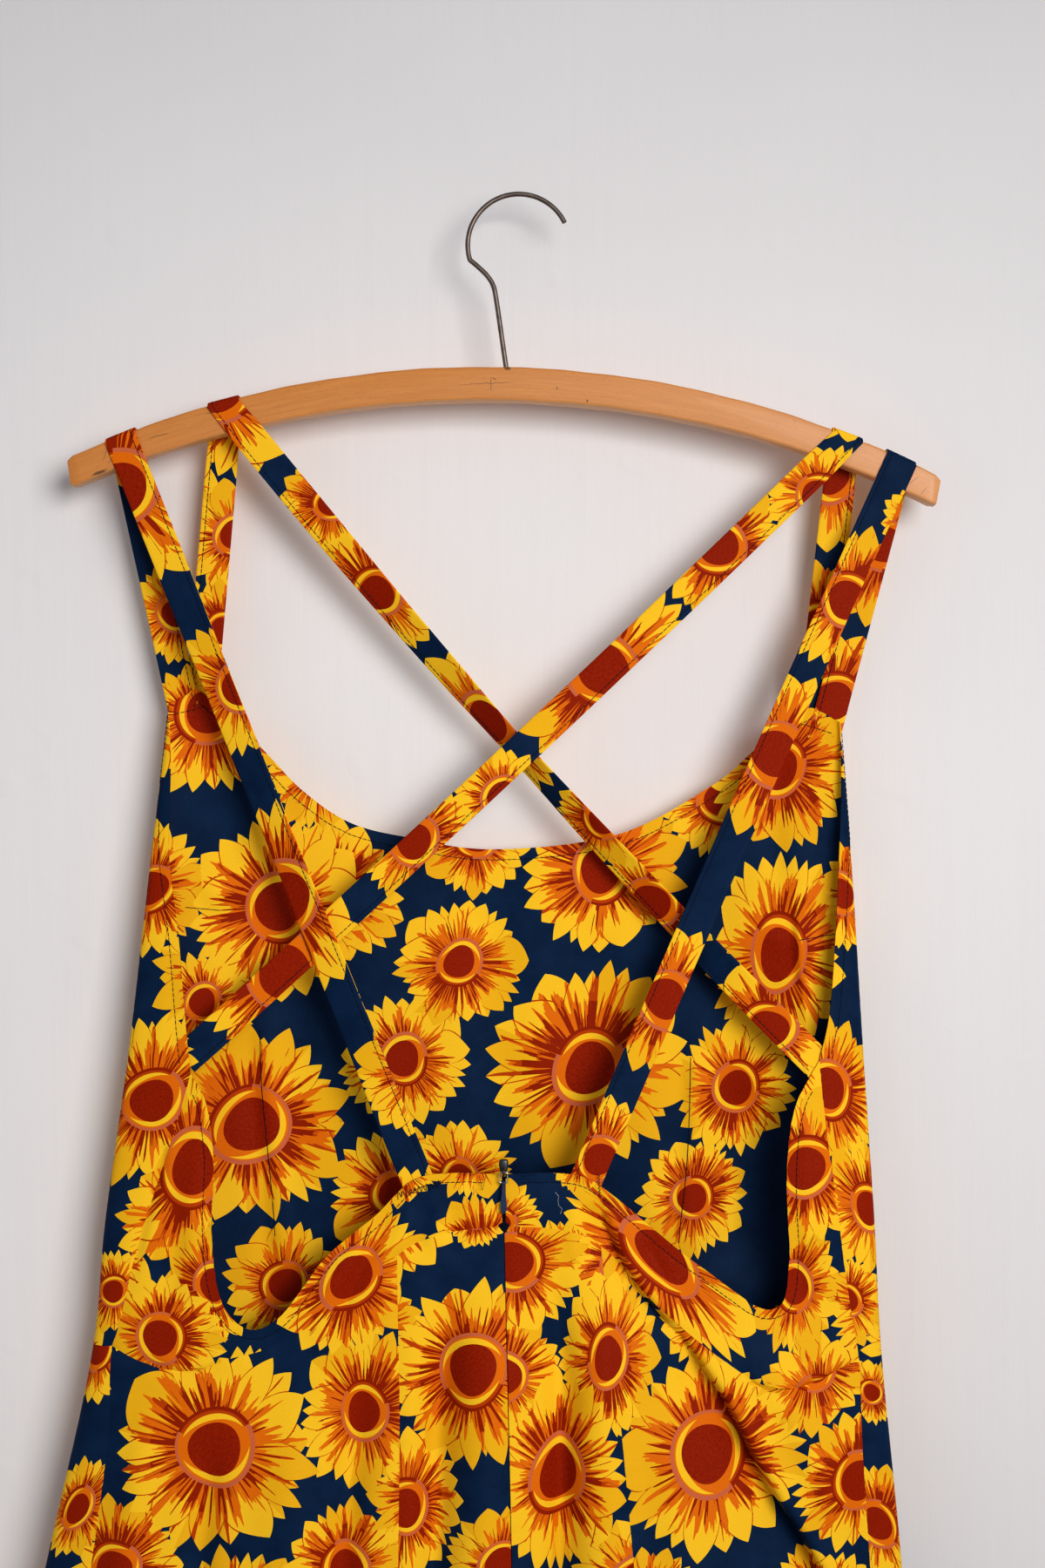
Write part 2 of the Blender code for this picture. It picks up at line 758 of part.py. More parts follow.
def make_hook():
    """The hook is one wire: a round loop, a neck and a stem, with a flattened head below the bar."""
    arc = []
    for angle in np.linspace(HOOK_TIP_ANGLE, HOOK_BACK_ANGLE, HOOK_ARC_STEPS + 1):
        arc.append((HOOK_CENTRE[0] + HOOK_RADIUS * math.cos(angle),
                    HOOK_CENTRE[1] + HOOK_RADIUS * math.sin(angle)))
    neck = through([arc[-1], *HOOK_NECK], 3)[1:]
    points = [(x, 0.0, z) for x, z in [*arc, *neck, HOOK_END]]
    hook = add_object("hanger_hook", wire_mesh("hanger_hook", points, HOOK_WIRE), "hook_steel")
    along = (Vector(points[-1]) - Vector(points[-2])).normalized()
    end = Vector(points[-1])
    head = guide(cylinder("hook_head", HEAD_RADIUS, end - HEAD_HEIGHT * along,
                          end + 0.4 * along, 16))
    boolean(hook, head, "UNION")
    hook.data.shade_smooth()
    hook.data.set_sharp_from_angle(angle=math.radians(40))


def strap_run(name, bar_x, near_x, near_z, near_bow, near_sag, twist, far_x, far_z, far_layer):
    """Rows of the strap's middle surface: across the back, up over the bar and down to the front."""
    half_bar, standoff = 0.5 * BAR_DEPTH, TOUCH_GAP + 0.5 * STRAP_WALL
    top, slope = bar_top(bar_x)
    tangent = Vector((1.0, 0.0, slope)).normalized()
    corner = BAR_EDGE + standoff
    face_y = half_bar + standoff
    shoulder_z = top - BAR_EDGE
    rows = []

    def add(centre, width, normal, angle, sewn, layer_depth):
        turned = math.cos(angle) * width + math.sin(angle) * normal
        row = []
        for side in (-0.5, 0.0, 0.5):
            point = centre + side * STRAP_WIDTH * turned
            if sewn > 0:
                point.y += sewn * (layer_depth(point.x, point.z) - point.y)
            row.append(point)
        rows.append(row)

    near_end = Vector((near_x, 0.0, near_z))
    start = Vector((bar_x, 0.0, shoulder_z))
    run = near_end - start
    across = Vector((-run.z, 0.0, run.x)).normalized()
    clear_share = (BAR_HEIGHT_MIDDLE + 2.0) / abs(run.z)
    end_depth = near_depth(near_x, near_z) + standoff

    def near_sewn(x, z):
        return near_depth(x, z) + standoff + SEWN_SLACK

    for step in range(NEAR_STEPS, 0, -1):
        t = step / NEAR_STEPS
        bow = 4 * t * (1 - t)
        centre = start + t * run + near_bow * bow * across
        slack = max(0.0, (t - clear_share) / (1 - clear_share))
        centre.y = -face_y + slack * (end_depth + face_y) + near_sag * math.sin(math.pi * slack)
        angle = math.radians(twist) * math.sin(math.pi * slack) ** 1.5
        level_share = smooth(clear_share - t, -0.02, clear_share)
        width = ((1 - level_share) * across + level_share * tangent).normalized()
        left_over = run.length * (1 - t)
        sewn = 1 - smooth(left_over, SEWN_LENGTH, 3 * SEWN_LENGTH)
        add(centre, width, Vector((0, -1, 0)), angle, sewn, near_sewn)
    for turn in (0.0, 22.5, 45.0, 67.5, 90.0):
        angle = math.radians(turn)
        centre = Vector((bar_x, -(half_bar - BAR_EDGE) - corner * math.cos(angle),
                         shoulder_z + corner * math.sin(angle)))
        add(centre, tangent, Vector(), 0.0, 0.0, None)
    for turn in (90.0, 67.5, 45.0, 22.5, 0.0):
        angle = math.radians(turn)
        centre = Vector((bar_x, half_bar - BAR_EDGE + corner * math.cos(angle),
                         shoulder_z + corner * math.sin(angle)))
        add(centre, tangent, Vector(), 0.0, 0.0, None)
    far_end = Vector((far_x, 0.0, far_z))
    run = far_end - start
    across = Vector((-run.z, 0.0, run.x)).normalized()
    offset = WALL + standoff + SEWN_SLACK + far_layer * (STRAP_WALL + TOUCH_GAP + SEWN_SLACK)
    end_depth = far_depth(far_x, far_z) + offset

    def far_sewn(x, z):
        return far_depth(x, z) + offset

    for step in range(1, FAR_STEPS + 1):
        t = step / FAR_STEPS
        centre = start + t * run
        slack = max(0.0, (t - 0.14) / 0.86)
        centre.y = face_y + slack * (end_depth - face_y)
        sewn = 1 - smooth(run.length * (1 - t), SEWN_LENGTH, 3 * SEWN_LENGTH)
        level_share = 1 - smooth(t, 0.0, 0.3)
        width = ((1 - level_share) * across + level_share * tangent).normalized()
        add(centre, width, Vector(), 0.0, sewn, far_sewn)
    return rows


def make_straps():
    for row in STRAPS:
        name = row[0]
        made = add_object(name, grid_mesh(name, strap_run(*row)), "strap_cloth")
        solidify(made, STRAP_WALL, 0.0)


def make_zip_tape():
    """The tape lies behind the slit, made from the back's own surface moved in."""
    rows = []
    for z in np.linspace(ZIP_TAPE_TOP, ZIP_TAPE_LOW, 15):
        centre = SLIDER_X if z > WAIST_ENDS["centre"] else seam_x("centre", z)
        line = []
        for side in (-0.5, -0.25, 0.0, 0.25, 0.5):
            x = centre + side * ZIP_TAPE_WIDTH
            line.append((x, near_depth(x, z) + TOUCH_GAP, z))
        rows.append(line)
    tape = add_object("zip_tape", grid_mesh("zip_tape", rows), "zip_cloth")
    solidify(tape, ZIP_TAPE_WALL, -1.0)


def make_slider():
    """The slider sits at the top of the slit, with an arched bridge that holds the pull."""
    back = PULL_AXIS_Y + 1.1
    middle = Vector((SLIDER_X, back + 0.5 * SLIDER_DEPTH, 0.5 * (SLIDER_TOP + SLIDER_LOW)))
    bpy.ops.mesh.primitive_cube_add(size=1.0)
    slider = bpy.context.object
    slider.data.transform(Matrix.Diagonal((SLIDER_WIDTH * MM, SLIDER_DEPTH * MM,
                                           (SLIDER_TOP - SLIDER_LOW) * MM, 1.0)))
    slider.location = middle * MM
    take(slider, "zip_slider", "slider_metal")
    edges = slider.modifiers.new("edges", "BEVEL")
    edges.width = 0.7 * MM
    edges.segments = 2
    bpy.ops.mesh.primitive_torus_add(major_radius=BRIDGE_RADIUS * MM, minor_radius=BRIDGE_WIRE * MM,
                                     major_segments=16, minor_segments=8,
                                     location=(SLIDER_X * MM, PULL_AXIS_Y * MM, PULL_AXIS_Z * MM),
                                     rotation=(0.0, math.radians(90), 0.0))
    bridge = bpy.context.object
    bridge.name = "slider_bridge"
    boolean(slider, guide(bridge), "UNION")


def take(obj, name, colour):
    """Name an object made by an operator and move it into the part."""
    for collection in list(obj.users_collection):
        collection.objects.unlink(obj)
    PART.objects.link(obj)
    obj.name = name
    obj.data.name = name
    obj.data.materials.clear()
    obj.data.materials.append(material(colour))


def make_pull():
    """A wire loop hangs in the bridge, and a teardrop tab hangs on the loop's lower bar."""
    axis = Vector((SLIDER_X, PULL_AXIS_Y, PULL_AXIS_Z))
    corner = 0.8
    outline = []
    for centre_x, centre_z, first_turn in ((1, 0, 90), (-1, 0, 180), (-1, -1, 270), (1, -1, 360)):
        for turn in (0, 30, 60, 90):
            angle = math.radians(first_turn + turn - 90)
            x = centre_x * (LOOP_HALF_WIDTH - corner) + corner * math.cos(angle)
            z = centre_z * (LOOP_HEIGHT - 2 * corner) - corner + corner * math.sin(angle)
            outline.append(axis + Vector((x, 0.0, z)))
    add_object("zip_pull_loop", wire_mesh("zip_pull_loop", outline, LOOP_WIRE, True), "loop_metal")
    foot = axis + Vector((0.0, 0.0, -LOOP_HEIGHT))
    curve = bpy.data.curves.new("zip_pull_tab", "CURVE")
    curve.dimensions = "2D"
    curve.fill_mode = "BOTH"
    curve.extrude = (0.5 * TAB_WALL - 0.25) * MM
    curve.bevel_depth = 0.25 * MM
    curve.bevel_resolution = 1
    curve.offset = -0.25 * MM
    spline = curve.splines.new("POLY")
    sides = [(0.62, 0.3), (0.72, 2.6), (1.05, 5.5), (1.45, 8.6), (TAB_HALF_WIDTH, 11.2),
             (1.5, 13.2), (0.95, 14.7), (0.0, TAB_LENGTH)]
    points = [(half, -down) for half, down in sides] + [(-half, -down) for half, down in sides[-2::-1]]
    spline.points.add(len(points) - 1)
    for knot, (x, z) in zip(spline.points, points):
        knot.co = (x * MM, z * MM, 0.0, 1.0)
    spline.use_cyclic_u = True
    holder = bpy.data.objects.new("tab_outline", curve)
    PART.objects.link(holder)
    mesh = evaluated(holder)
    weld(mesh)
    mesh.transform(Matrix.Translation(foot * MM) @ Matrix.Rotation(math.radians(90), 4, "X"))
    bpy.data.objects.remove(holder)
    tab = add_object("zip_pull_tab", mesh, "tab_enamel")
    reach = Vector((1.0, 0.0, 0.0))
    boolean(tab, guide(cylinder("tab_head", TAB_HEAD_RADIUS, foot - reach, foot + reach, 16)), "UNION")
    boolean(tab, guide(cylinder("tab_bore", TAB_BORE, foot - 3 * reach, foot + 3 * reach, 12)),
            "DIFFERENCE")


clear_scene()
PART = new_collection("pinafore_dress_on_hanger")
CUTTERS = new_collection("cutters")
make_bar()
make_hook()
make_straps()
make_front()
band("back_band_left", LEFT_BACK, LEFT_SEAM, -1)
band("back_band_right", RIGHT_BACK, RIGHT_SEAM, 1)
make_skirt()
make_zip_tape()
make_slider()
make_pull()
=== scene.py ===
"""The looks of a pinafore dress with four narrow straps, hung back to front on a wooden hanger.

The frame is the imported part's: +Z up, the camera at -Y, the origin at the inside top of the hook.
The near layer is the dress's open back and the far layer its front. Tables are in millimetres.
A place on the dress is u, z: u runs from 0 at the left fold over the near layer to 1 at the right
fold and over the far layer to 2, and z is the height.
"""

import math

import bpy
import numpy as np
from mathutils import Matrix, Vector


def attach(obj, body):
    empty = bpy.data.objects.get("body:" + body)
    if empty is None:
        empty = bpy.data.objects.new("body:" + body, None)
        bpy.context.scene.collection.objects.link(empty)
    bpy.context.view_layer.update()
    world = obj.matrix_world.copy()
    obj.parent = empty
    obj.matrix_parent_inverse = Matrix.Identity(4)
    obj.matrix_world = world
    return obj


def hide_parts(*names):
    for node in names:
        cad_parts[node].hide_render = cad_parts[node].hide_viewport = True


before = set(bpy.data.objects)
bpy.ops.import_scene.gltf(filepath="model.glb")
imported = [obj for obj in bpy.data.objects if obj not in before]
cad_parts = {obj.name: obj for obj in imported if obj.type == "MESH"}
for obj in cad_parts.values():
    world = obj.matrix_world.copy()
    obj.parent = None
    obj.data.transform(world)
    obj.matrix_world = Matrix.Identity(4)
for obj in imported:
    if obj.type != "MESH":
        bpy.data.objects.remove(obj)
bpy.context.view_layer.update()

MM = 0.001
BODY = "dress_on_hanger"

# Cloth
CAD_WALL = 1.2
SKIN_IN = 0.35
SKIN_OUT = 0.85
STRAP_WIDTH = 16.0
SEAM_GAP = 0.1
YOKE_SLIT = 1.9
SKIRT_SLIT = 0.7
SHARP_DEGREES = 50.0

# The flattened tube: at each height, where its two folds are and how deep the two layers lie
LEVELS = (
    # height, left, right, near, middle, far
    (-240, -176, 159, -2, 4, 9), (-262, -177, 160, -4, 3, 9.5), (-338, -185.3, 165.2, -11, -1, 10.5),
    (-426, -195, 170.3, -17, -3, 12), (-513, -206.7, 175.8, -20, -4.5, 13),
    (-581, -213.6, 179.4, -22, -5, 14), (-688, -237, 189.6, -25, -5, 15), (-900, -284, 206, -28, -5, 18),
    (-1215, -342, 238, -31, -5, 22),
)
ROUNDNESS = 2.5
RING_STEPS = 240
TABLE_TOP = -236.0
TABLE_STEP = 3.0
TABLE_ROWS = 330
TABLE_COLUMNS = 960

HEM_HEIGHT = -1211.0
HEM_FOLD = 18.0
BACK_INSET = 4.6
ARMHOLE_INSET = 5.0
NECK_INSET = 5.4
FLUTES_START = -575.0
FOLD_SHARE = 0.115

# Soft flutes of the skirt, which grow from the waist to the hem
FLUTES = (
    # layer, place (-1 left fold to 1 right fold), half width at the hem, depth at the hem
    ("near", -0.8, 42, 9), ("near", -0.5, 34, 12), ("near", -0.21, 40, 8), ("near", 0.12, 32, 11),
    ("near", 0.44, 36, 13), ("near", 0.77, 34, 8), ("far", -0.68, 40, 10), ("far", -0.33, 36, 12),
    ("far", 0.02, 42, 9), ("far", 0.36, 34, 12), ("far", 0.7, 36, 9),
)

# A fold is a ridge beside a trough, a drop is a sharp step with the cloth high on the right of its
# line's way, and a swell is a ridge where its depth is above 0 and a trough where it is below
CREASES = (
    # layer, kind, rows of half width, depth and the points x, z of its line
    ("near", "drop", (
        (10, 7.5, (80, -566), (67, -552), (57, -539), (50, -526), (44, -511), (40, -499)),
        (19, 12, (166, -716), (141, -668), (127, -646), (114, -622), (103, -600), (92, -583),
         (82, -568), (74, -558)),
        (6, 3.2, (162, -579), (151, -586), (134, -592)),
        (5, 2.2, (134, -595), (122, -591), (110, -584)),
        (5, 2, (-146, -577), (-160, -583), (-175, -581), (-187, -576)),
        (8, 2, (-190, -543), (-186, -520), (-178, -492), (-173, -466)),
    )),
    ("near", "swell", (
        (10, 4, (104, -560), (128, -596), (146, -628), (164, -668)),
        (4, -1.5, (61, -519), (66, -529), (73, -541)),
        (5, 1.3, (84, -522), (97, -533), (110, -548)),
        (4, -1.8, (-62, -502), (-73, -521), (-83, -543), (-92, -560)),
        (4.5, 1.5, (-70, -507), (-85, -530), (-99, -551)),
        (4, 1.2, (-54, -501), (-58, -515), (-66, -532)),
        (3.6, -1.2, (-47, -500), (-49, -514), (-53, -526)),
        (3.4, 0.9, (-41, -499), (-41, -512), (-44, -524)),
        (4, -1.1, (-35, -498), (-33, -512), (-34, -530)),
        (4.5, -1.4, (32, -499), (35, -514), (36, -533)),
        (4.5, 1.2, (25, -498), (27, -514), (26, -532)),
        (15, 6.5, (-12, -540), (-16, -600), (-18, -680), (-16, -790)),
        (9, -9, (-34, -536), (-40, -600), (-42, -680), (-46, -800)),
        (13, 6, (38, -540), (40, -600), (43, -680), (50, -800)),
        (8, -9, (16, -530), (20, -590), (20, -680), (17, -800)),
        (9, -7, (-76, -570), (-84, -640), (-92, -740), (-100, -850)),
        (14, 4.6, (-106, -590), (-118, -680), (-132, -800)),
        (8, -5, (-151, -612), (-160, -690), (-176, -800)),
        (9, 3.6, (-182, -596), (-196, -680), (-212, -790)),
        (12, 2.6, (140, -612), (153, -655), (172, -730)),
        (6.5, -2, (163, -600), (171, -660), (180, -750)),
        (10, 2.2, (70, -600), (78, -660), (92, -760)),
        (6, -1.3, (-168, -500), (-172, -535), (-180, -560)),
        (6, 1.2, (-160, -470), (-163, -512), (-160, -552)),
        (5, -1.1, (-184, -330), (-187, -380), (-184, -430)),
        (5, 1, (-180, -400), (-183, -440)),
        (5, -1.5, (158, -440), (162, -480), (163, -530)),
        (5, 1.3, (150, -470), (151, -515), (155, -555)),
        (4, -1.1, (140, -515), (139, -540), (143, -562)),
        (14, -4, (-44, -830), (-50, -940), (-62, -1080), (-68, -1200)),
        (12, 3.2, (-150, -840), (-172, -980), (-196, -1150)),
        (12, -3.4, (24, -830), (36, -960), (60, -1190)),
        (10, 2.8, (150, -860), (168, -1000), (186, -1160)),
        (9, 2.4, (78, -820), (96, -930), (112, -1040)),
        (12, 3.5, (144, -450), (141, -490), (142, -535)),
    )),
    ("far", "swell", (
        (12, 1.8, (-118, -300), (-112, -380), (-118, -470), (-126, -560)),
        (14, -2, (-70, -340), (-78, -430), (-82, -540)),
        (13, 1.8, (-18, -336), (-12, -420), (-16, -560)),
        (13, -1.9, (48, -340), (60, -430), (62, -560)),
        (12, 1.9, (96, -320), (104, -400), (100, -540)),
        (10, -2, (138, -300), (142, -380), (134, -470)),
        (5, -1.3, (-150, -268), (-140, -300), (-136, -340)),
        (6, 1.3, (132, -276), (128, -310), (130, -345)),
        (12, 3, (60, -590), (72, -740), (90, -930)),
        (13, -3.4, (120, -600), (140, -760), (150, -940)),
        (12, 2.8, (-140, -600), (-160, -740), (-190, -930)),
        (12, -3, (10, -640), (4, -800), (-8, -1010)),
        (12, 3, (-100, -900), (-120, -1050), (-130, -1200)),
        (13, -3.4, (50, -960), (60, -1090), (66, -1200)),
        (19, 7.5, (122, -440), (123, -480), (121, -515), (116, -550)),
    )),
    ("far", "fold", (
        (5, 1.6, (-132, -412), (-131, -446), (-128, -481), (-125, -524), (-124, -560)),
        (4.5, 1.3, (86, -424), (85, -470), (83, -494), (80, -532)),
        (6, 1.3, (-165, -352), (-148, -356), (-128, -352)),
        (6, 1.3, (158, -366), (142, -370), (122, -364)),
        (12, 3.6, (-40, -600), (-70, -720), (-88, -880)),
    )),
    ("far", "drop", (
        (9, 3, (150, -575), (120, -600), (90, -640)),
        (7, 2.2, (138, -352), (138, -372), (140, -398), (143, -424)),
    )),
)
CREASE_END = 0.22
DROP_STEP = 1.2
PUCKER_REACH = 16.0
PUCKER_TROUGH = 2.6
PUCKER_GATHERS = 6.0
SIDE_FADE = 0.16

# Slow unevenness of hanging cloth, as waves. The far layer has its own part of them
RIPPLES = (
    # across, down, phase, height
    (0.052, 0.011, 0.4, 0.35), (0.083, -0.024, 2.1, 0.28), (0.031, 0.046, 4.4, 0.3),
    (0.117, 0.039, 1.3, 0.16), (-0.066, 0.071, 3, 0.18), (0.16, -0.06, 5.2, 0.11),
    (0.31, 0.12, 2.7, 0.06), (-0.24, 0.28, 0.9, 0.06),
)
FAR_RIPPLE_SHIFT = 57.0

# Seams and edges of the back, from the zip out to each side
LEFT_BACK = (
    # waist x, waist z, edge x, edge z
    (-8.2, -512.2, -8.4, -486.8), (-29.2, -514.4, -33.5, -486), (-46.4, -518.7, -53.3, -489.8),
    (-60.8, -526.2, -72, -507.4), (-80, -544.1, -94.6, -526), (-95.9, -557.8, -107.5, -542.8),
    (-113.1, -568.1, -119.2, -557.4), (-129.9, -574.4, -132.1, -563.4), (-142, -577.3, -143.4, -556.5),
    (-151.4, -580.3, -149.7, -541.9), (-161.7, -583.4, -152.6, -513.9), (-173.4, -583.9, -151.8, -479.5),
    (-186.3, -580.6, -155.7, -452.3), (-202.6, -573.4, -163.4, -438),
)
RIGHT_BACK = (
    # waist x, waist z, edge x, edge z
    (-8.2, -512.2, -8.4, -486.8), (11.6, -513.1, 13.8, -486), (26.7, -515.6, 31.2, -488.1),
    (39.4, -522.8, 44.6, -496.4), (56.8, -539.8, 64.1, -512.6), (69.7, -552.7, 79.6, -525.4),
    (82.6, -564.7, 92.9, -535), (96.4, -575.4, 106.3, -545.1), (108.4, -583.6, 115.4, -551.6),
    (120.5, -589.5, 123.6, -553.7), (132.1, -592, 130.2, -548.2), (142.8, -590.6, 132.5, -526.8),
    (152.3, -587, 131.4, -488.1), (160, -582.6, 135.3, -455.9), (167.6, -579, 148.1, -431.5),
)
PRINCESS_ROW = 3
BAND_COLUMNS_PER_ROW = 8
BAND_ROWS = 48

# Side seams above the waist, from the waist up to the top of the back
LEFT_SEAM = (
    # x, z
    (-202.6, -573.4), (-198.3, -560), (-189.6, -521.9), (-183.2, -502.4), (-173.6, -474), (-163.4, -438),
)
RIGHT_SEAM = (
    # x, z
    (167.6, -579), (164.1, -558.7), (159.8, -530.5), (156.3, -502.4), (151.8, -472.1), (148.1, -431.5),
)

# Armhole edges of the front, from the top of the side seam up to the top corners
LEFT_ARMHOLE = (
    # x, z
    (-163.4, -438), (-166.6, -408), (-170.2, -370), (-175.4, -330), (-175.2, -287.6), (-176.6, -254),
)
RIGHT_ARMHOLE = (
    # x, z
    (148.1, -431.5), (153.4, -408), (156.6, -370), (158.6, -333.2), (160.2, -296), (160, -263.5),
)
# Top edge of the front, from right to left: corner, scooped neckline, corner
NECKLINE = (
    # x, z
    (160, -263.5), (151, -258), (142.3, -257.6), (118.1, -277.4), (96.5, -295.4), (48.9, -320.1),
    (-13.7, -327.6), (-58.2, -321.4), (-86.8, -313.9), (-110.6, -297.6), (-132.2, -275.2),
    (-160.4, -248.4), (-168.8, -249.6), (-176.6, -254),
)
FRONT_ROWS = 110
FOLD_COLUMNS = 34
FAR_COLUMNS = 136
SKIRT_SHARES = np.concatenate([np.linspace(0.0, 0.68, 80, endpoint=False),
                               np.linspace(0.68, 1.0, 108)])

# Seams of the back of the skirt, from the waist down to the hem
SKIRT_SEAMS = {
    # seam: (x at the waist, x at 688 mm down, x at the hem, height at the waist)
    "left_side": (-202.6, -213, -296, -573.4),
    "left_princess": (-60.8, -60.4, -74, -526.2),
    "centre": (-8.2, -4.4, 8, -512.2),
    "right_princess": (39.4, 56, 100, -522.8),
    "right_side": (167.6, 173, 206, -579),
}
SEAM_MIDDLE = -688.0

# Darts and other seams that are lines in one panel
DARTS = (
    # layer, line of x, z
    ("far", ((-131.9, -419), (-131.4, -446), (-128.3, -481), (-125.9, -507), (-124.8, -524))),
    ("far", ((86, -433), (85, -470), (83.5, -494), (81, -516), (80.2, -527))),
    ("far", ((-169, -356.7), (-152, -358.5))),
    ("far", ((140.2, -373), (158.3, -370))),
)

# Hanger
BAR_RADIUS = 498.0
BAR_TOP = (-7.2, -86.4)
BAR_TILT = math.radians(-1.25)
BAR_HALF_ANGLE = math.radians(26.0)
BAR_END_LEAN = math.radians(0.5)
BAR_HEIGHT_MIDDLE = 16.6
BAR_HEIGHT_END = 14.0
BAR_DEPTH = 12.0
BAR_EDGE = 1.3
BAR_STEPS = 150
HOOK_WIRE = 1.25
HOOK_CENTRE = (-1.0, -24.35)
HOOK_RADIUS = 25.6
HOOK_TIP_ANGLE = math.radians(26.0)
HOOK_BACK_ANGLE = math.radians(197.0)
HOOK_NECK = (
    # x, z
    (-22.1, -34.6), (-17.2, -39.3), (-14, -44.2), (-12.4, -51), (-9.9, -68), (-7.3, -86),
)
HOOK_END = (-5.0, -101.8)
HEAD_WAYS = (-0.4, 0.2, 0.6)
HEAD_RADII = (1.9, 2.1, 1.5)
HOLE_WAYS = (-0.15, 0.1)
HOLE_RADIUS = 2.9

# Straps: where each crosses the bar, where its two ends are sewn, and how it lies between
STRAPS = (
    # name, bar x, near x, near z, near bow, near sag, twist, far x, far z, far layer, stitched side
    ("strap_outer_left", -199.8, -48.6, -496, 0, -2.4, 22, -169, -262, 0, 1),
    ("strap_inner_left", -148.4, 151, -437, -6.2, 5.4, 46, -162.5, -262, 1, -1),
    ("strap_inner_right", 163.1, -167, -431.5, 2.5, -3.4, 4, 146.5, -271, 1, 1),
    ("strap_outer_right", 189.9, 30, -495, -1.2, 0, 5, 152.5, -273, 0, -1),
)
STRAP_STANDOFF = 0.8
STRAP_NEAR_STEPS = 170
STRAP_FAR_STEPS = 60
STRAP_FAR_CLEAR = 0.14
STRAP_OVER_STEPS = 17
STRAP_THICKNESS = 1.3
STRAP_WAVE = 0.35
STRAP_TURN_WAVE = 0.05
BELOW_BAR = 2.0
STRAP_STITCH_LIFT = 0.6
SEWN_LENGTH = 11.0
SEWN_SLACK = 0.4

# Sunflowers, placed one by one. Tall above 1 is longer than wide, and lean turns its top to the left. A
# radius below 0 is kept navy
FLOWERS = {
    # piece: {layer: rows of x, z, radius, then tall and lean in degrees where they aren't 1 and 0}
    "bodice_front": {
        "far": (
            (-31, -385, 32), (34, -438, 51), (-59, -434, 34), (-122, -357, 46), (-137, -467, 49),
            (-158, -259, 42), (41, -339, 42), (-23, -323, 28), (130, -380, 35, 1.5),
            (130, -286, 38, 1.1), (109, -448, 30, 1.15), (87, -504, 28, 1.1), (-31, -495, 29),
            (-63, -503, 35), (-120, -549, 31), (-97, -350, 38), (101, -303, 30), (-160, -405, 27),
            # The last two rows keep the deep hollow behind the right strip navy and free of flowers:
            # painted shade
            (124, -505, -17), (120, -542, -20)),
        "near": (
            (-183, -451, 43), (-184, -347, 34), (-202, -546, 21), (173, -505, 27, 1.2),
            (152, -446, 31, 1.15), (160, -349, 23, 1.2), (162, -550, 22)),
    },
    "back_band_left": {
        "near": (
            (-177, -568, 31), (-152, -542, 26, 1.2), (-83, -538, 33, 1.25, -45), (-19, -524, 27),
            (-24, -475, 24), (-60, -482, 20)),
    },
    "back_band_right": {
        "near": (
            (-11, -511, 22), (69, -527, 31, 2, 43), (141, -483, 33, 1.15), (135, -543, 22, 1.5),
            (147, -598, 31), (30, -478, 17)),
    },
    "skirt_back_side_left": {
        "near": (
            (-150, -621, 50), (-77, -603, 32, 1.22), (-200, -680, 33), (-86, -680, 32),
            (-83, -538, 33, 1.25, -45)),
    },
    "skirt_back_centre_left": {
        "near": (
            (-24, -582, 40, 1.12), (-57, -649, 28, 1.4), (-10, -675, 27), (-22, -508, 15)),
    },
    "skirt_back_centre_right": {
        "near": (
            (-3, -530, 36), (43, -575, 24, 1.65), (18, -634, 33, 1.45)),
    },
    "skirt_back_side_right": {
        "near": (
            (43, -575, 24, 1.65), (93, -625, 46, 1.1), (144, -582, 31), (166, -638, 34), (62, -697, 27),
            (148, -698, 28)),
    },
    "skirt_front": {
        "near": (
            (177, -661, 27, 1.1), (174, -596, 16), (-210, -577, 22, 1.2), (-219, -653, 20, 1.3)),
    },
}
PRINT_LAYERS = ("print_first", "print_second", "print_third", "print_fourth", "print_fifth")
FILL_TRIES = 1600
FILL_RADII = (20.0, 46.0)
FILL_SPACING = 0.84
FILL_SHRINK = 0.6
FILL_TALL = (0.92, 1.25)
FILL_LEAN = (-40, 40)
SEEDS = {"bands": 31, "skirt": 11, "front": 21, "straps": 51}
FACE_MARGIN = 9.0
NO_FLOWER = 9.0
GOLDEN_TURN = 2.4


def clear_default_objects():
    for name in ("Cube", "Light", "Camera"):
        found = bpy.data.objects.get(name)
        if found:
            bpy.data.objects.remove(found, do_unlink=True)


def through(points, steps_per_span):
    """A smooth curve through the given points, with even steps between each two of them."""
    knots = np.asarray(points, dtype=float)
    ends = np.vstack([2 * knots[0] - knots[1], knots, 2 * knots[-1] - knots[-2]])
    curve = []
    for span in range(len(knots) - 1):
        before, start, stop, after = ends[span:span + 4]
        for step in range(steps_per_span):
            t = step / steps_per_span
            curve.append(0.5 * (2 * start + (stop - before) * t
                                + (2 * before - 5 * start + 4 * stop - after) * t ** 2
                                + (3 * start - before - 3 * stop + after) * t ** 3))
    curve.append(knots[-1])
    return np.array(curve)


def unit(vectors):
    """Vectors made 1 long."""
    vectors = np.asarray(vectors, dtype=float)
    return vectors / np.maximum(np.linalg.norm(vectors, axis=-1, keepdims=True), 1e-9)


def lengths_along(points):
    steps = np.linalg.norm(np.diff(np.asarray(points, dtype=float), axis=0), axis=1)
    return np.concatenate([[0.0], np.cumsum(steps)])


def at_shares(points, shares):
    """A polyline read at the given shares of its length."""
    lengths = lengths_along(points)
    wanted = np.asarray(shares) * lengths[-1]
    return np.column_stack([np.interp(wanted, lengths, column) for column in np.transpose(points)])


def spaced(points, shares):
    """The smooth curve through the points, read at the given shares of its length."""
    return at_shares(through(points, 24), shares)


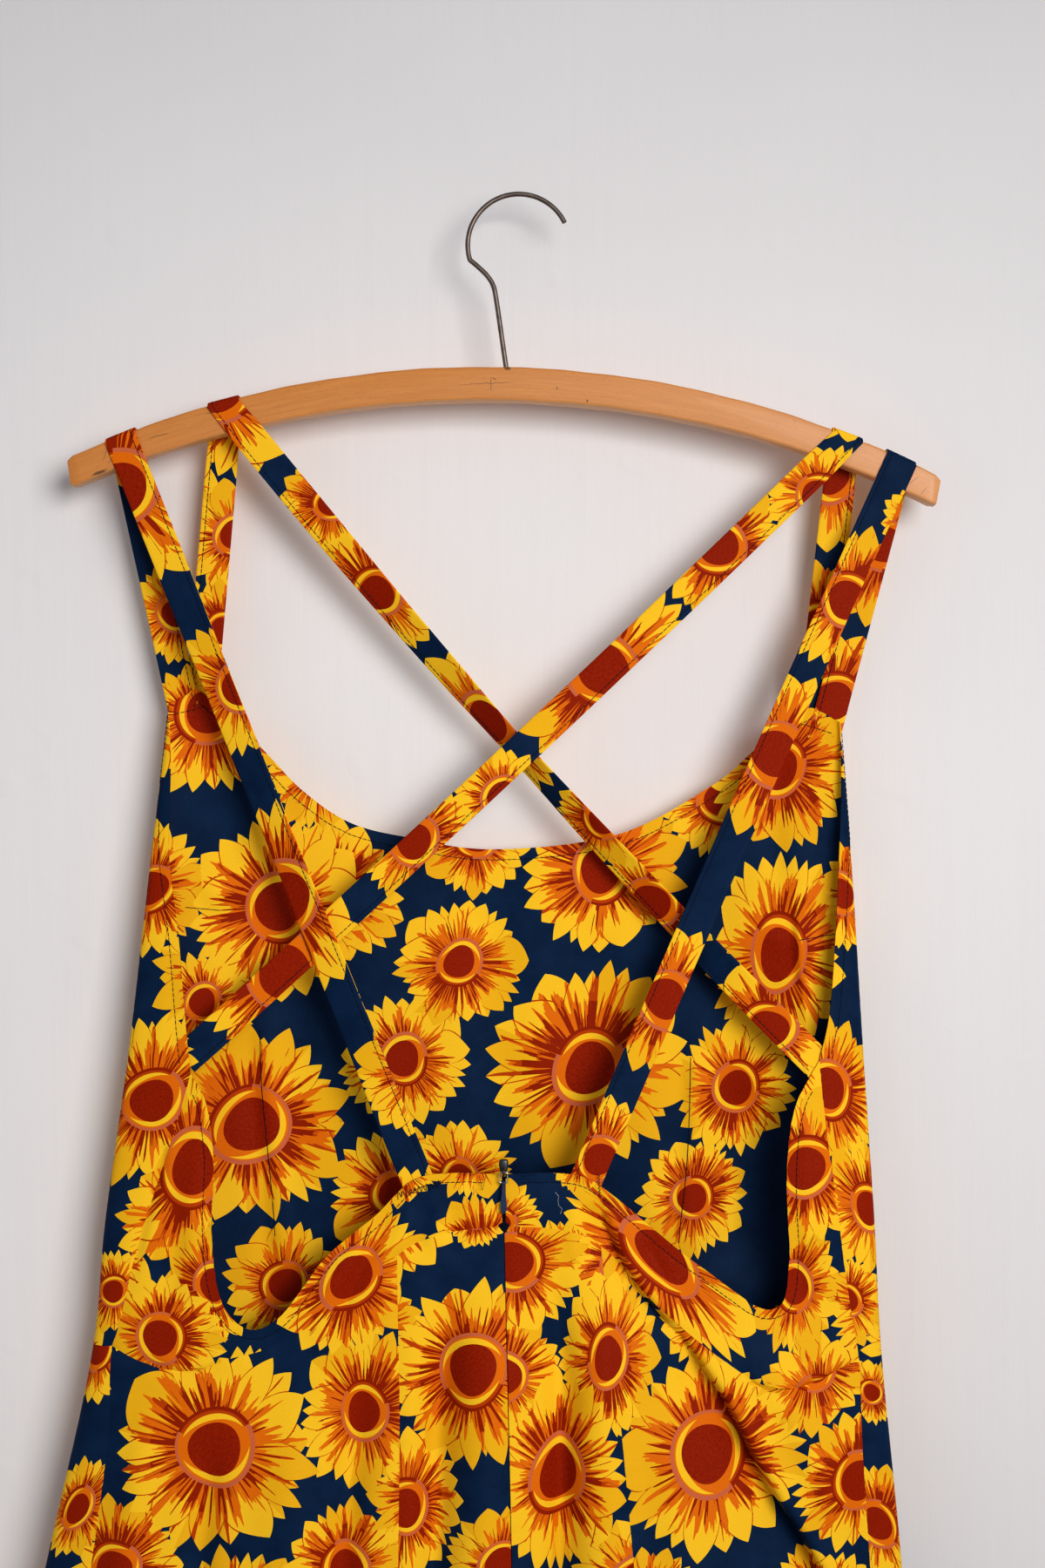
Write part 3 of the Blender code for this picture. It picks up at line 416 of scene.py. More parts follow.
def smooth(value, low, high):
    """A soft step from 0 at low to 1 at high."""
    t = np.clip((value - low) / (high - low), 0.0, 1.0)
    return t * t * (3 - 2 * t)


LEVEL_CURVE = through(LEVELS, 12)


def level(z):
    """Left fold, right fold, near, middle and far depth of the tube at height z."""
    heights = LEVEL_CURVE[::-1, 0]
    return [np.interp(z, heights, LEVEL_CURVE[::-1, column]) for column in range(1, 6)]


def ring(z):
    """The plain tube's section at one height: places u with their x and y, and its half lengths."""
    left, right, near, middle, far = level(z)
    angle = np.linspace(0.0, 2 * math.pi, 2 * RING_STEPS + 1)
    cosine, sine = np.cos(angle), np.sin(angle)
    power = 2.0 / ROUNDNESS
    x = 0.5 * (left + right) - 0.5 * (right - left) * np.sign(cosine) * np.abs(cosine) ** power
    depth = np.where(angle <= math.pi, near - middle, far - middle)
    y = middle + depth * np.abs(sine) ** power
    lengths = np.concatenate([[0.0], np.cumsum(np.hypot(np.diff(x), np.diff(y)))])
    half = lengths[RING_STEPS]
    rest = lengths[-1] - half
    u = np.where(lengths <= half, lengths / half, 1 + (lengths - half) / rest)
    return u, x, y, half, rest


def ring_tables():
    """The tube's x and y at even places round it, for a row of heights."""
    places = np.linspace(0.0, 2.0, TABLE_COLUMNS + 1)
    xs, ys, near_lengths, far_lengths = [], [], [], []
    for row in range(TABLE_ROWS):
        u, x, y, half, rest = ring(TABLE_TOP - row * TABLE_STEP)
        xs.append(np.interp(places, u, x))
        ys.append(np.interp(places, u, y))
        near_lengths.append(half)
        far_lengths.append(rest)
    return np.array(xs), np.array(ys), np.array(near_lengths), np.array(far_lengths)


RING_X, RING_Y, NEAR_LENGTHS, FAR_LENGTHS = ring_tables()


def read_table(table, u, z):
    """A table's value at places u, z, blended from the four entries round each."""
    row = np.clip((TABLE_TOP - z) / TABLE_STEP, 0.0, TABLE_ROWS - 1.001)
    column = np.mod(u, 2.0) / 2.0 * TABLE_COLUMNS
    column = np.minimum(column, TABLE_COLUMNS - 0.001)
    r, c = row.astype(int), column.astype(int)
    down, across = row - r, column - c
    upper = table[r, c] * (1 - across) + table[r, c + 1] * across
    lower = table[r + 1, c] * (1 - across) + table[r + 1, c + 1] * across
    return upper * (1 - down) + lower * down


def length_at(table, z):
    row = np.clip((TABLE_TOP - z) / TABLE_STEP, 0.0, TABLE_ROWS - 1.001)
    return np.interp(row, np.arange(TABLE_ROWS), table)


def place_at(x, z, layer):
    """The place u of a layer's point at x."""
    u, xs = ring(z)[:2]
    if layer == "near":
        return float(np.interp(x, xs[:RING_STEPS + 1], u[:RING_STEPS + 1]))
    return float(np.interp(x, xs[RING_STEPS:][::-1], u[RING_STEPS:][::-1]))


def to_place(points, layer):
    """Points given as x, z on a layer, as u, z."""
    return np.array([(place_at(x, z, layer), z) for x, z in points])


def along_line(x, z, line):
    """For each place: its distance to a line of x, z, the way along it, and the side it is on."""
    line = np.asarray(line, dtype=float)
    before = lengths_along(line)
    best = np.full(x.shape, 1e9)
    way = np.zeros(x.shape)
    side = np.ones(x.shape)
    for start, stop, passed in zip(line, line[1:], before):
        run = stop - start
        size = math.hypot(*run)
        share = np.clip(((x - start[0]) * run[0] + (z - start[1]) * run[1]) / size ** 2, 0, 1)
        gap_x, gap_z = x - start[0] - share * run[0], z - start[1] - share * run[1]
        gap = np.hypot(gap_x, gap_z)
        closer = gap < best
        best = np.where(closer, gap, best)
        way = np.where(closer, passed + share * size, way)
        side = np.where(closer, np.sign(gap_x * run[1] - gap_z * run[0]), side)
    return best, way, side


def reach_of(line, margin, x, z):
    """True for the places that are near enough to a line to matter."""
    line = np.asarray(line, dtype=float)
    low, high = line.min(axis=0) - margin, line.max(axis=0) + margin
    return (x > low[0]) & (x < high[0]) & (z > low[1]) & (z < high[1])


def crease_lift(x, z, layer):
    """How far the folds, drops and swells lift a layer."""
    out = np.zeros(x.shape)
    rows = [(kind, *row) for row_layer, kind, group in CREASES if row_layer == layer for row in group]
    for kind, width, depth, *points in rows:
        line = through(points, 6) if len(points) > 2 else np.array(points, dtype=float)
        inside = reach_of(line, 3 * width, x, z)
        if not inside.any():
            continue
        gap, way, side = along_line(x[inside], z[inside], line)
        share = way / lengths_along(line)[-1]
        fade = smooth(share, -0.02, CREASE_END) * (1 - smooth(share, 1 - CREASE_END, 1.02))
        across = gap / width
        if kind == "fold":
            shape = side * across * np.exp(0.5 - 0.5 * across ** 2)
        elif kind == "drop":
            slope = np.where(side > 0, 0.45 * np.exp(-(1.4 * across) ** 2), np.exp(-across ** 1.3))
            shape = side * np.tanh(gap / DROP_STEP) * slope
        else:
            shape = np.exp(-across ** 2)
        out[inside] += depth * fade * shape
    return out


def ripple_lift(x, z, layer):
    """How far the slow waves lift a layer."""
    shift = 0.0 if layer == "near" else FAR_RIPPLE_SHIFT
    out = np.zeros(x.shape)
    for across, down, phase, height in RIPPLES:
        wave = np.sin((x + shift) * across + z * down + phase)
        out += height * wave * np.cos(0.4 * down * x - 0.3 * across * z + 2 * phase)
    return out


def pucker_lift(x, z, layer):
    """A shallow trough with small gathers along each seam and stitched edge of a layer."""
    out = np.zeros(x.shape)
    for line_layer, line, trough, gathers in PUCKERED:
        inside = reach_of(line, PUCKER_REACH, x, z) & (line_layer == layer)
        if not inside.any():
            continue
        gap, way, side = along_line(x[inside], z[inside], line)
        beat = np.sin(way / 1.9 + 2.0 * np.sin(way / 13.0)) + 0.6 * np.sin(way / 1.1 + side)
        strength = 0.55 + 0.45 * np.sin(way / 31.0 + 1.7 * side)
        out[inside] -= trough * np.exp(-(gap / PUCKER_TROUGH) ** 2)
        out[inside] += gathers * strength * beat * np.exp(-(gap / PUCKER_GATHERS) ** 2)
    return out


def lift(x, z, layer):
    """How far the cloth stands out of the plain tube at each place."""
    left, right = level(z)[:2]
    half = 0.5 * (right - left)
    place = (x - 0.5 * (left + right)) / half
    hem_left, hem_right = level(HEM_HEIGHT)[:2]
    grown = smooth(-z, -FLUTES_START, -HEM_HEIGHT)
    out = np.zeros(x.shape)
    for flute_layer, centre, width, depth in FLUTES:
        if flute_layer == layer:
            offset = (place - centre) * 0.5 * (hem_right - hem_left) / width
            out += grown * depth * np.exp(-offset * offset)
    out += crease_lift(x, z, layer) + ripple_lift(x, z, layer)
    return out * smooth(1 - np.abs(place), 0.0, SIDE_FADE) + pucker_lift(x, z, layer)


def surface(u, z):
    """The inner face of the cloth at places u, z, as an array of points in millimetres."""
    u, z = np.asarray(u, dtype=float), np.asarray(z, dtype=float)
    x, y = read_table(RING_X, u, z), read_table(RING_Y, u, z)
    near = np.mod(u, 2.0) <= 1.0
    y = y - np.where(near, lift(x, z, "near"), 0.0) + np.where(near, 0.0, lift(x, z, "far"))
    return np.stack([x, y, z], axis=-1)


def surface_normal(u, z):
    """The direction out of the cloth at places u, z."""
    u, z = np.asarray(u, dtype=float), np.asarray(z, dtype=float)
    across = surface(u + 0.004, z) - surface(u - 0.004, z)
    up = surface(u, z + 0.8) - surface(u, z - 0.8)
    return unit(np.cross(across, up))


def depth_at(x, z, layer):
    """The y of a layer's inner face at x, z."""
    return float(surface(np.array([place_at(x, z, layer)]), np.array([z]))[0, 1])


def flat_place(u, z, round_both):
    """How far round the cloth places u, z are from the middle of the near or the far layer."""
    near_half, far_half = length_at(NEAR_LENGTHS, z), length_at(FAR_LENGTHS, z)
    if not round_both:
        return (u - 0.5) * near_half
    before_far = -0.5 * far_half + (u - 1.0) * near_half
    after_far = 0.5 * far_half + (u - 2.0) * near_half
    return np.where(u < 1.0, before_far, np.where(u > 2.0, after_far, (u - 1.5) * far_half))


def seam_x(name, z):
    """The x of one of the skirt's seams at height z."""
    at_waist, at_middle, at_hem, waist_z = SKIRT_SEAMS[name]
    knots = ((waist_z, at_waist), (SEAM_MIDDLE, at_middle), (HEM_HEIGHT, at_hem))
    curve = through(knots, 12)[::-1]
    return np.interp(z, curve[:, 0], curve[:, 1])


def seam_line(name, shift=0.0, shares=SKIRT_SHARES):
    """A skirt seam from the hem up to the waist, as x, z, moved sideways by shift."""
    heights = HEM_HEIGHT + shares * (SKIRT_SEAMS[name][3] - 0.5 * SEAM_GAP - HEM_HEIGHT)
    return np.column_stack([seam_x(name, heights) + shift, heights])


def back_rows(table, steps):
    """Waist seam and open edge of one side of the back, from the zip to the side seam."""
    fine = through(table, steps)
    return fine[:, 0:2], fine[:, 2:4]


def beside(line, distance):
    """A line of x, z moved to its left by the distance."""
    line = np.asarray(line, dtype=float)
    run = unit(np.gradient(line, axis=0))
    return line + distance * np.column_stack([-run[:, 1], run[:, 0]])


def hem_line(x_from, x_to, count):
    """The line of the hem's stitches, as x, z."""
    return np.column_stack([np.linspace(x_from, x_to, count), np.full(count, HEM_HEIGHT + HEM_FOLD)])


def puckered_lines():
    """Seams and stitched edges: layer, line of x, z, depth of the trough, height of the gathers."""
    coarse = np.linspace(0.0, 1.0, 31)
    found = []
    for back, seam, armhole, side in ((LEFT_BACK, LEFT_SEAM, LEFT_ARMHOLE, 1),
                                      (RIGHT_BACK, RIGHT_SEAM, RIGHT_ARMHOLE, -1)):
        waist, edge = back_rows(back, 4)
        found += [("near", waist, 0.55, 0.16),
                  ("near", beside(edge, side * BACK_INSET), 0.25, 0.20),
                  ("near", through(seam, 6), 0.5, 0.16),
                  ("near", beside(through(armhole, 6), side * ARMHOLE_INSET), 0.2, 0.16)]
    found.append(("far", beside(through(NECKLINE, 6), NECK_INSET), 0.25, 0.24))
    found += [(layer, hem_line(-330, 230, 60), 0.3, 0.3) for layer in ("near", "far")]
    found += [("near", seam_line(name, 0.0, coarse), 0.8 if name == "centre" else 0.6, 0.18)
              for name in SKIRT_SEAMS]
    return found + [(layer, through(line, 4), 0.45, 0.12) for layer, line in DARTS]


PUCKERED = puckered_lines()


def link(made):
    bpy.context.scene.collection.objects.link(made)
    return made


def new_piece(name, vertices, faces, colour):
    """A smooth piece from points in millimetres, with an edge only where it turns sharply."""
    mesh = bpy.data.meshes.new(name)
    mesh.from_pydata(vertices * MM, [], faces)
    mesh.validate()
    mesh.shade_smooth()
    mesh.set_sharp_from_angle(angle=math.radians(SHARP_DEGREES))
    mesh.materials.append(MATERIALS[colour])
    return link(bpy.data.objects.new(name, mesh))


def cloth_wall(name, points, inner, outer):
    """A closed wall from a grid of points: its two faces lie inner and outer along the normals."""
    normal = unit(np.cross(np.gradient(points, axis=1), np.gradient(points, axis=0)))
    both = np.concatenate([(points + inner * normal).reshape(-1, 3),
                           (points + outer * normal).reshape(-1, 3)])
    size = len(both) // 2
    index = np.arange(size).reshape(points.shape[:2])
    quads = np.stack([index[:-1, :-1], index[1:, :-1], index[1:, 1:], index[:-1, 1:]], axis=-1)
    quads = quads.reshape(-1, 4)
    rim = np.concatenate([index[0, :-1], index[:-1, -1], index[-1, :0:-1], index[:0:-1, 0]])
    after = np.roll(rim, -1)
    sides = np.column_stack([rim, after, after + size, rim + size])
    faces = np.concatenate([quads, quads[:, ::-1] + size, sides])
    return new_piece("cloth_" + name, both, faces.tolist(), "print")


def clear_of(flower, other):
    """Whether two flowers, with their petals and a margin, lie apart."""
    reach = sum(radius * max(tall, 1) for _, _, radius, tall, _ in (flower, other))
    return math.hypot(flower[0] - other[0], flower[1] - other[1]) > reach + FACE_MARGIN


def lay_flowers(flowers):
    """Sort flowers into the print's layers, so that none in a layer overlaps another of it."""
    layers = [[] for _ in PRINT_LAYERS]
    for flower in flowers:
        free = [layer for layer in layers if all(clear_of(flower, other) for other in layer)]
        if flower[2] > 0 and free:
            free[0].append(flower)
    return layers


def fill_flowers(placed, low, high, random, radii):
    """Add flowers at random places where there is room left."""
    found = list(placed)
    for attempt in range(FILL_TRIES):
        share = 1.0 - attempt / FILL_TRIES
        radius = radii[0] + (radii[1] - radii[0]) * share * random.uniform(FILL_SHRINK, 1.0)
        x, z = random.uniform(low - radii[0], high + radii[0])
        if all(math.hypot(x - other[0], z - other[1]) > FILL_SPACING * (radius + abs(other[2]))
               for other in found):
            found.append((x, z, radius, random.uniform(*FILL_TALL), random.uniform(*FILL_LEAN)))
    return found


def on_flowers(corners, layer):
    """Places on the flowers of one layer, with each flower's seed, for each face corner."""
    table = np.array(layer, dtype=float)
    centres = corners.reshape(-1, 4, 2).mean(axis=1)
    gaps = np.hypot(centres[:, None, 0] - table[:, 0], centres[:, None, 1] - table[:, 1])
    chosen = np.repeat((gaps - table[:, 2] * np.maximum(table[:, 3], 1.0)).argmin(axis=1), 4)
    x, z, radius, tall, lean = table[chosen].T
    seed = (np.floor(np.mod(3.7 * table[:, 0] + 5.3 * table[:, 1], 59.0)) + 1.0)[chosen]
    across, up = corners[:, 0] - x, corners[:, 1] - z
    cosine, sine = np.cos(np.radians(lean)), np.sin(np.radians(lean))
    wide = (across * cosine + up * sine) / radius
    high = (up * cosine - across * sine) / (radius * tall)
    turn = seed * GOLDEN_TURN
    return np.column_stack([wide * np.cos(turn) - high * np.sin(turn),
                            wide * np.sin(turn) + high * np.cos(turn), seed])


def print_flowers(made, flat, flowers, seed, radii=FILL_RADII):
    """Give each face corner its place on the flower of each layer that its face belongs to."""
    random = np.random.default_rng(seed)
    layers = lay_flowers(fill_flowers(flowers, flat.min(axis=0), flat.max(axis=0), random, radii))
    vertex = np.zeros(len(made.data.loops), dtype=int)
    made.data.loops.foreach_get("vertex_index", vertex)
    corners = flat[vertex % len(flat)]
    given = {name: on_flowers(corners, layer) if layer else np.full((len(corners), 3), NO_FLOWER)
             for name, layer in zip(PRINT_LAYERS, layers)}
    given["cloth"] = np.column_stack([corners, np.zeros(len(corners))])
    for name, values in given.items():
        attribute = made.data.attributes.new(name, "FLOAT_VECTOR", "CORNER")
        attribute.data.foreach_set("vector", values.ravel())


def ride(made):
    """Let a piece ride with the dress."""
    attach(made, BODY)
    return made


def patch(bottom, top, first, last, shares_across, shares_up):
    """Places u, z of a panel stretched between four edges given as u, z."""
    w = np.asarray(shares_across)[None, :, None]
    v = np.asarray(shares_up)[:, None, None]
    across = (1 - w) * first[:, None, :] + w * last[:, None, :]
    along = (1 - v) * bottom[None, :, :] + v * top[None, :, :]
    corners = ((1 - v) * ((1 - w) * bottom[0] + w * bottom[-1])
               + v * ((1 - w) * top[0] + w * top[-1]))
    return across + along - corners


def cloth_piece(name, places, seed, round_both=False):
    """One panel of the dress with its print, in place of the CAD node of the same name."""
    u, z = places[..., 0], places[..., 1]
    made = cloth_wall(name, surface(u, z), SKIN_IN, SKIN_OUT)
    flat = np.stack([flat_place(u, z, round_both), z], axis=-1).reshape(-1, 2)
    flowers = []
    for layer, rows in FLOWERS[name].items():
        for x, height, radius, *shape in rows:
            tall, lean = (*shape, *(1.0, 0.0)[len(shape):])
            place = place_at(x, height, layer)
            if round_both and layer == "near" and x < 0:
                place += 2.0
            spot = float(flat_place(place, height, round_both))
            flowers.append((spot, height, radius, tall, lean))
    print_flowers(made, flat, flowers, seed)
    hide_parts(name)
    return ride(made)


def make_bands():
    """The two halves of the low back bodice."""
    made = []
    for name, table, seam, side in (("back_band_left", LEFT_BACK, LEFT_SEAM, -1),
                                    ("back_band_right", RIGHT_BACK, RIGHT_SEAM, 1)):
        waist, edge = back_rows(table, BAND_COLUMNS_PER_ROW)
        waist[:, 1] += 0.5 * SEAM_GAP
        way = np.linspace(0.0, 1.0, len(waist))
        shift = (1 - way) ** 16 * side * 0.5 * YOKE_SLIT - way ** 16 * side * 0.5 * SEAM_GAP
        for line in (waist, edge):
            line[:, 0] += shift
        shares_up = np.linspace(0.0, 1.0, BAND_ROWS + 1)
        outer = spaced(seam, shares_up) - np.array([side * 0.5 * SEAM_GAP, 0.0])
        outer[0], outer[-1] = waist[-1], edge[-1]
        inner = (1 - shares_up[:, None]) * waist[0] + shares_up[:, None] * edge[0]
        lines = [to_place(line, "near") for line in (waist, edge, inner, outer)]
        if side < 0:
            places = patch(lines[0][::-1], lines[1][::-1], lines[3], lines[2], way, shares_up)
        else:
            places = patch(*lines, way, shares_up)
        made.append(cloth_piece(name, places, SEEDS["bands"] + side))
    return made


def skirt_back(name, waist, left, left_shift, right, right_shift, seed):
    """One gore of the skirt's back, between two seams and below the waist's line."""
    first, last = seam_line(left, left_shift), seam_line(right, right_shift)
    top = waist - np.array([0.0, 0.5 * SEAM_GAP])
    top[0], top[-1] = first[-1], last[-1]
    hem = np.column_stack([np.linspace(first[0][0], last[0][0], len(top)),
                           np.full(len(top), HEM_HEIGHT)])
    lines = [to_place(line, "near") for line in (hem, top, first, last)]
    places = patch(*lines, np.linspace(0, 1, len(top)), SKIRT_SHARES)
    return cloth_piece(name, places, seed)


def make_skirt():
    """Four gores behind, and one front that wraps round both folds."""
    left_waist = back_rows(LEFT_BACK, BAND_COLUMNS_PER_ROW)[0]
    right_waist = back_rows(RIGHT_BACK, BAND_COLUMNS_PER_ROW)[0]
    split = PRINCESS_ROW * BAND_COLUMNS_PER_ROW
    gap, slit = 0.5 * SEAM_GAP, 0.5 * SKIRT_SLIT
    gores = (
        ("side_left", left_waist[split:][::-1], "left_side", gap, "left_princess", -gap),
        ("centre_left", left_waist[:split + 1][::-1], "left_princess", gap, "centre", -slit),
        ("centre_right", right_waist[:split + 1], "centre", slit, "right_princess", -gap),
        ("side_right", right_waist[split:], "right_princess", gap, "right_side", -gap),
    )
    made = [skirt_back("skirt_back_" + name, *edges, SEEDS["skirt"] + count)
            for count, (name, *edges) in enumerate(gores)]
    first = to_place(seam_line("right_side", gap), "near")
    last = to_place(seam_line("left_side", -gap), "near") + np.array([2.0, 0.0])
    shares = wrap_shares()[:, None]
    hem = (1 - shares) * first[0] + shares * last[0]
    top = (1 - shares) * first[-1] + shares * last[-1]
    places = patch(hem, top, first, last, shares[:, 0], SKIRT_SHARES)
    made.append(cloth_piece("skirt_front", places, SEEDS["skirt"] + len(gores), True))
    return made


def wrap_shares():
    """Shares of the way round a piece that wraps both folds: close together at the folds."""
    fold = np.linspace(0.0, FOLD_SHARE, FOLD_COLUMNS + 1)
    far = np.linspace(FOLD_SHARE, 1 - FOLD_SHARE, FAR_COLUMNS + 1)
    return np.concatenate([fold[:-1], far[:-1], 1 - fold[::-1]])


def make_front():
    """The front bodice runs from the right side seam round the far layer to the left one."""
    low_share = 0.42
    shares_up = np.linspace(0.0, 1.0, FRONT_ROWS + 1)
    sides = []
    for seam, armhole, shift in ((RIGHT_SEAM, RIGHT_ARMHOLE, 1), (LEFT_SEAM, LEFT_ARMHOLE, -1)):
        low = spaced(seam, np.clip(shares_up / low_share, 0, 1))
        high = spaced(armhole, np.clip((shares_up - low_share) / (1 - low_share), 0, 1))
        line = np.where(shares_up[:, None] < low_share, low, high)
        line[:, 0] += shift * 0.5 * SEAM_GAP
        line[0][1] += 0.5 * SEAM_GAP
        sides.append(to_place(line, "near"))
    first, last = sides
    last = last + np.array([2.0, 0.0])
    shares = wrap_shares()
    top = to_place(spaced(NECKLINE, shares), "far")
    top[0], top[-1] = first[-1], last[-1]
    bottom = (1 - shares[:, None]) * first[0] + shares[:, None] * last[0]
    places = patch(bottom, top, first, last, shares, shares_up)
    return [cloth_piece("bodice_front", places, SEEDS["front"], True)]


def bar_place(angle, radius):
    """A point given across and along the bar's arc, as x, z."""
    turn = Matrix.Rotation(BAR_TILT, 2)
    centre = Vector(BAR_TOP) - turn @ Vector((0, BAR_RADIUS))
    return centre + float(radius) * (turn @ Vector((math.sin(angle), math.cos(angle))))


def bar_top(x):
    """Height and slope of the bar's top edge at x."""
    centre = bar_place(0.0, 0.0)
    across = x - centre.x
    rise = math.sqrt(BAR_RADIUS ** 2 - across ** 2)
    return centre.y + rise, -across / rise


def strap_run(ways, start, end, side_y, end_y, clear, bow=0.0, sag=0.0):
    """One side of a strap: its centres, how free each hangs and how firmly it is sewn, and the
    direction across it."""
    t = ways[:, None]
    run = np.array([end[0], 0.0, end[1]]) - start
    across = unit((-run[2], 0.0, run[0]))
    centres = start + t * run + bow * 4 * t * (1 - t) * across
    slack = np.maximum(0.0, (ways - clear) / (1 - clear))
    free = np.sin(math.pi * slack)
    centres[:, 1] = side_y + slack * (end_y - side_y) + sag * free
    sewn = 1 - smooth(np.linalg.norm(run) * (1 - ways), SEWN_LENGTH, 3 * SEWN_LENGTH)
    return centres, free, sewn, across


def sew_down(centres, widths, sewn, layer, offset):
    """Lay the sewn end of a strap on its layer, and return the layer's slope across the strap."""
    reach = 0.5 * STRAP_WIDTH
    low, high = [surface(*to_place((centres + side * widths)[:, [0, 2]], layer).T)[:, 1] + offset
                 for side in (-reach, reach)]
    centres[:, 1] += sewn * (0.5 * (low + high) - centres[:, 1])
    return (high - low) / STRAP_WIDTH


def strap_frames(bar_x, near_x, near_z, bow, sag, twist, far_x, far_z, far_layer):
    """Centres and width directions along a strap: across the back, over the bar, to the front."""
    top, slope = bar_top(bar_x)
    tangent = unit((1.0, 0.0, slope))
    face_y = 0.5 * BAR_DEPTH + STRAP_STANDOFF
    start = np.array([bar_x, 0.0, top - BAR_EDGE])

    ways = np.arange(STRAP_NEAR_STEPS, 0, -1) / STRAP_NEAR_STEPS
    clear = (BAR_HEIGHT_MIDDLE + BELOW_BAR) / abs(near_z - start[2])
    end_y = depth_at(near_x, near_z, "near") + STRAP_STANDOFF
    near, free, sewn, across = strap_run(ways, start, (near_x, near_z), -face_y, end_y, clear, bow, sag)
    near[:, 1] += STRAP_WAVE * free * np.sin(17.0 * ways + far_x)
    angle = (math.radians(twist) * np.maximum(free, 0.0) ** 1.5
             + STRAP_TURN_WAVE * free * np.sin(23 * ways + bar_x))
    share = smooth(clear - ways, -0.02, clear)[:, None]
    near_widths = np.cos(angle)[:, None] * unit((1 - share) * across + share * tangent)
    near_widths[:, 1] -= np.sin(angle)
    slope = sew_down(near, near_widths, sewn, "near", STRAP_STANDOFF + SEWN_SLACK)
    near_widths[:, 1] += sewn * (slope - near_widths[:, 1])

    turns = np.radians(np.linspace(0.0, 180.0, STRAP_OVER_STEPS))
    corner = BAR_EDGE + STRAP_STANDOFF
    flat = (0.5 * BAR_DEPTH - BAR_EDGE) * np.sign(turns - 0.5 * math.pi)
    over = np.column_stack([np.full(len(turns), bar_x), flat - corner * np.cos(turns),
                            start[2] + corner * np.sin(turns)])

    ways = np.arange(1, STRAP_FAR_STEPS + 1) / STRAP_FAR_STEPS
    offset = CAD_WALL + STRAP_STANDOFF + SEWN_SLACK + far_layer * (STRAP_THICKNESS + SEWN_SLACK)
    end_y = depth_at(far_x, far_z, "far") + offset
    far, _, sewn, across = strap_run(ways, start, (far_x, far_z), face_y, end_y, STRAP_FAR_CLEAR)
    share = 1 - smooth(ways, 0.0, 0.3)[:, None]
    far_widths = unit((1 - share) * across + share * tangent)
    sew_down(far, far_widths, sewn, "far", offset)
    widths = [unit(near_widths), np.tile(tangent, (len(turns), 1)), far_widths]
    return np.concatenate([near, over, far]), np.concatenate(widths)


# Half of the strap's cut strip, folded: its raw edge is turned in 6 mm at the stitched side, and it
# ends in the middle of the folded side. The other half mirrors it
STRAP_HALF = (
    # way to the stitched side, height
    (2, 0.14), (4.6, 0.13), (7.3, 0.15), (7.75, 0.2), (7.9, 0.3), (7.75, 0.4), (7.3, 0.46),
    (6.4, 0.46), (5.6, 0.36), (4.8, 0.45), (3, 0.46), (0, 0.42), (-3, 0.38), (-6, 0.36),
    (-7.4, 0.3), (-7.8, 0.17), (-7.9, 0),
)
STRAP_SECTION = STRAP_HALF + tuple((across, -height) for across, height in STRAP_HALF[-2::-1])
STRAP_SKIN = 0.13
# Places in the section: the middle of the face that lies on the bar, and of the outer face
FACE_INNER = 11
FACE_OUTER = 21
STRAP_FILL_RADII = (24.0, 36.0)
STITCH_INSET = 2.4

# Flowers on the straps: way from the bar (down the back above 0, down the front side below 0), the
# place across, to the right as the camera sees it, and the radius. A radius below 0 is kept navy
STRAP_FLOWERS = {
    "strap_outer_left": (
        (30, -11, 55), (146, 10, 34), (251, -9, 50), (355, 21, 31), (-98, 7, 25), (-150, 4, 24),
        (98, 0, -16), (198, 0, -10), (318, 0, -14), (388, 0, -12), (-48, 0, -24)),
    "strap_inner_left": (
        (2, 0, 46), (81, 10, 25), (129, -1, 36), (214, -3, 44), (289, 8, 25), (337, -2, 34),
        (421, -4, 36), (-72, 10, 28), (-119, 8, 24), (62, -8, -14), (265, -8, -12)),
    "strap_inner_right": (
        (39, 10, 27), (93, -5, 34), (177, 0, 51), (257, 11, 27), (303, -4, 31), (394, 1, 48),
        (-26, -4, 38), (-101, -2, 30), (133, 0, -8), (232, 0, -8), (350, 0, -12), (-68, 6, -8)),
    "strap_outer_right": (
        (34, 19, 18), (83, 4, 36), (168, 2, 41), (301, 1, 36), (386, 2, 32), (-50, 5, 38),
        (-131, 0, 35), (20, 0, -24), (122, -6, -8), (228, 0, -22), (345, 0, -8), (-94, 0, -8)),
}


def make_straps():
    """Four straps, each a folded strip carried along its way."""
    made = []
    section = np.array(STRAP_SECTION)
    across = lengths_along(section)
    wrap = across[FACE_INNER] - across[FACE_OUTER]
    for name, *route, side in STRAPS:
        centres, widths = strap_frames(*route)
        normals = unit(np.cross(unit(np.gradient(centres, axis=0)), widths))
        points = (centres[:, None] + side * section[:, :1] * widths[:, None]
                  + section[:, 1:] * normals[:, None])
        piece = cloth_wall(name, points, -STRAP_SKIN, STRAP_SKIN)
        way = lengths_along(centres)
        places = np.broadcast_arrays((across[FACE_INNER] - across) * side,
                                     (way[STRAP_NEAR_STEPS + STRAP_OVER_STEPS // 2] - way)[:, None])
        flowers = [(side * wrap - cross if down > 0 else cross, down, radius, 1.0, 0.0)
                   for down, cross, radius in STRAP_FLOWERS[name]]
        print_flowers(piece, np.stack(places, axis=-1).reshape(-1, 2), flowers,
                      SEEDS["straps"] + len(made), STRAP_FILL_RADII)
        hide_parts(name)
        made.append(ride(piece))
        stitch_strap(name, centres, widths, normals, side)
    return made


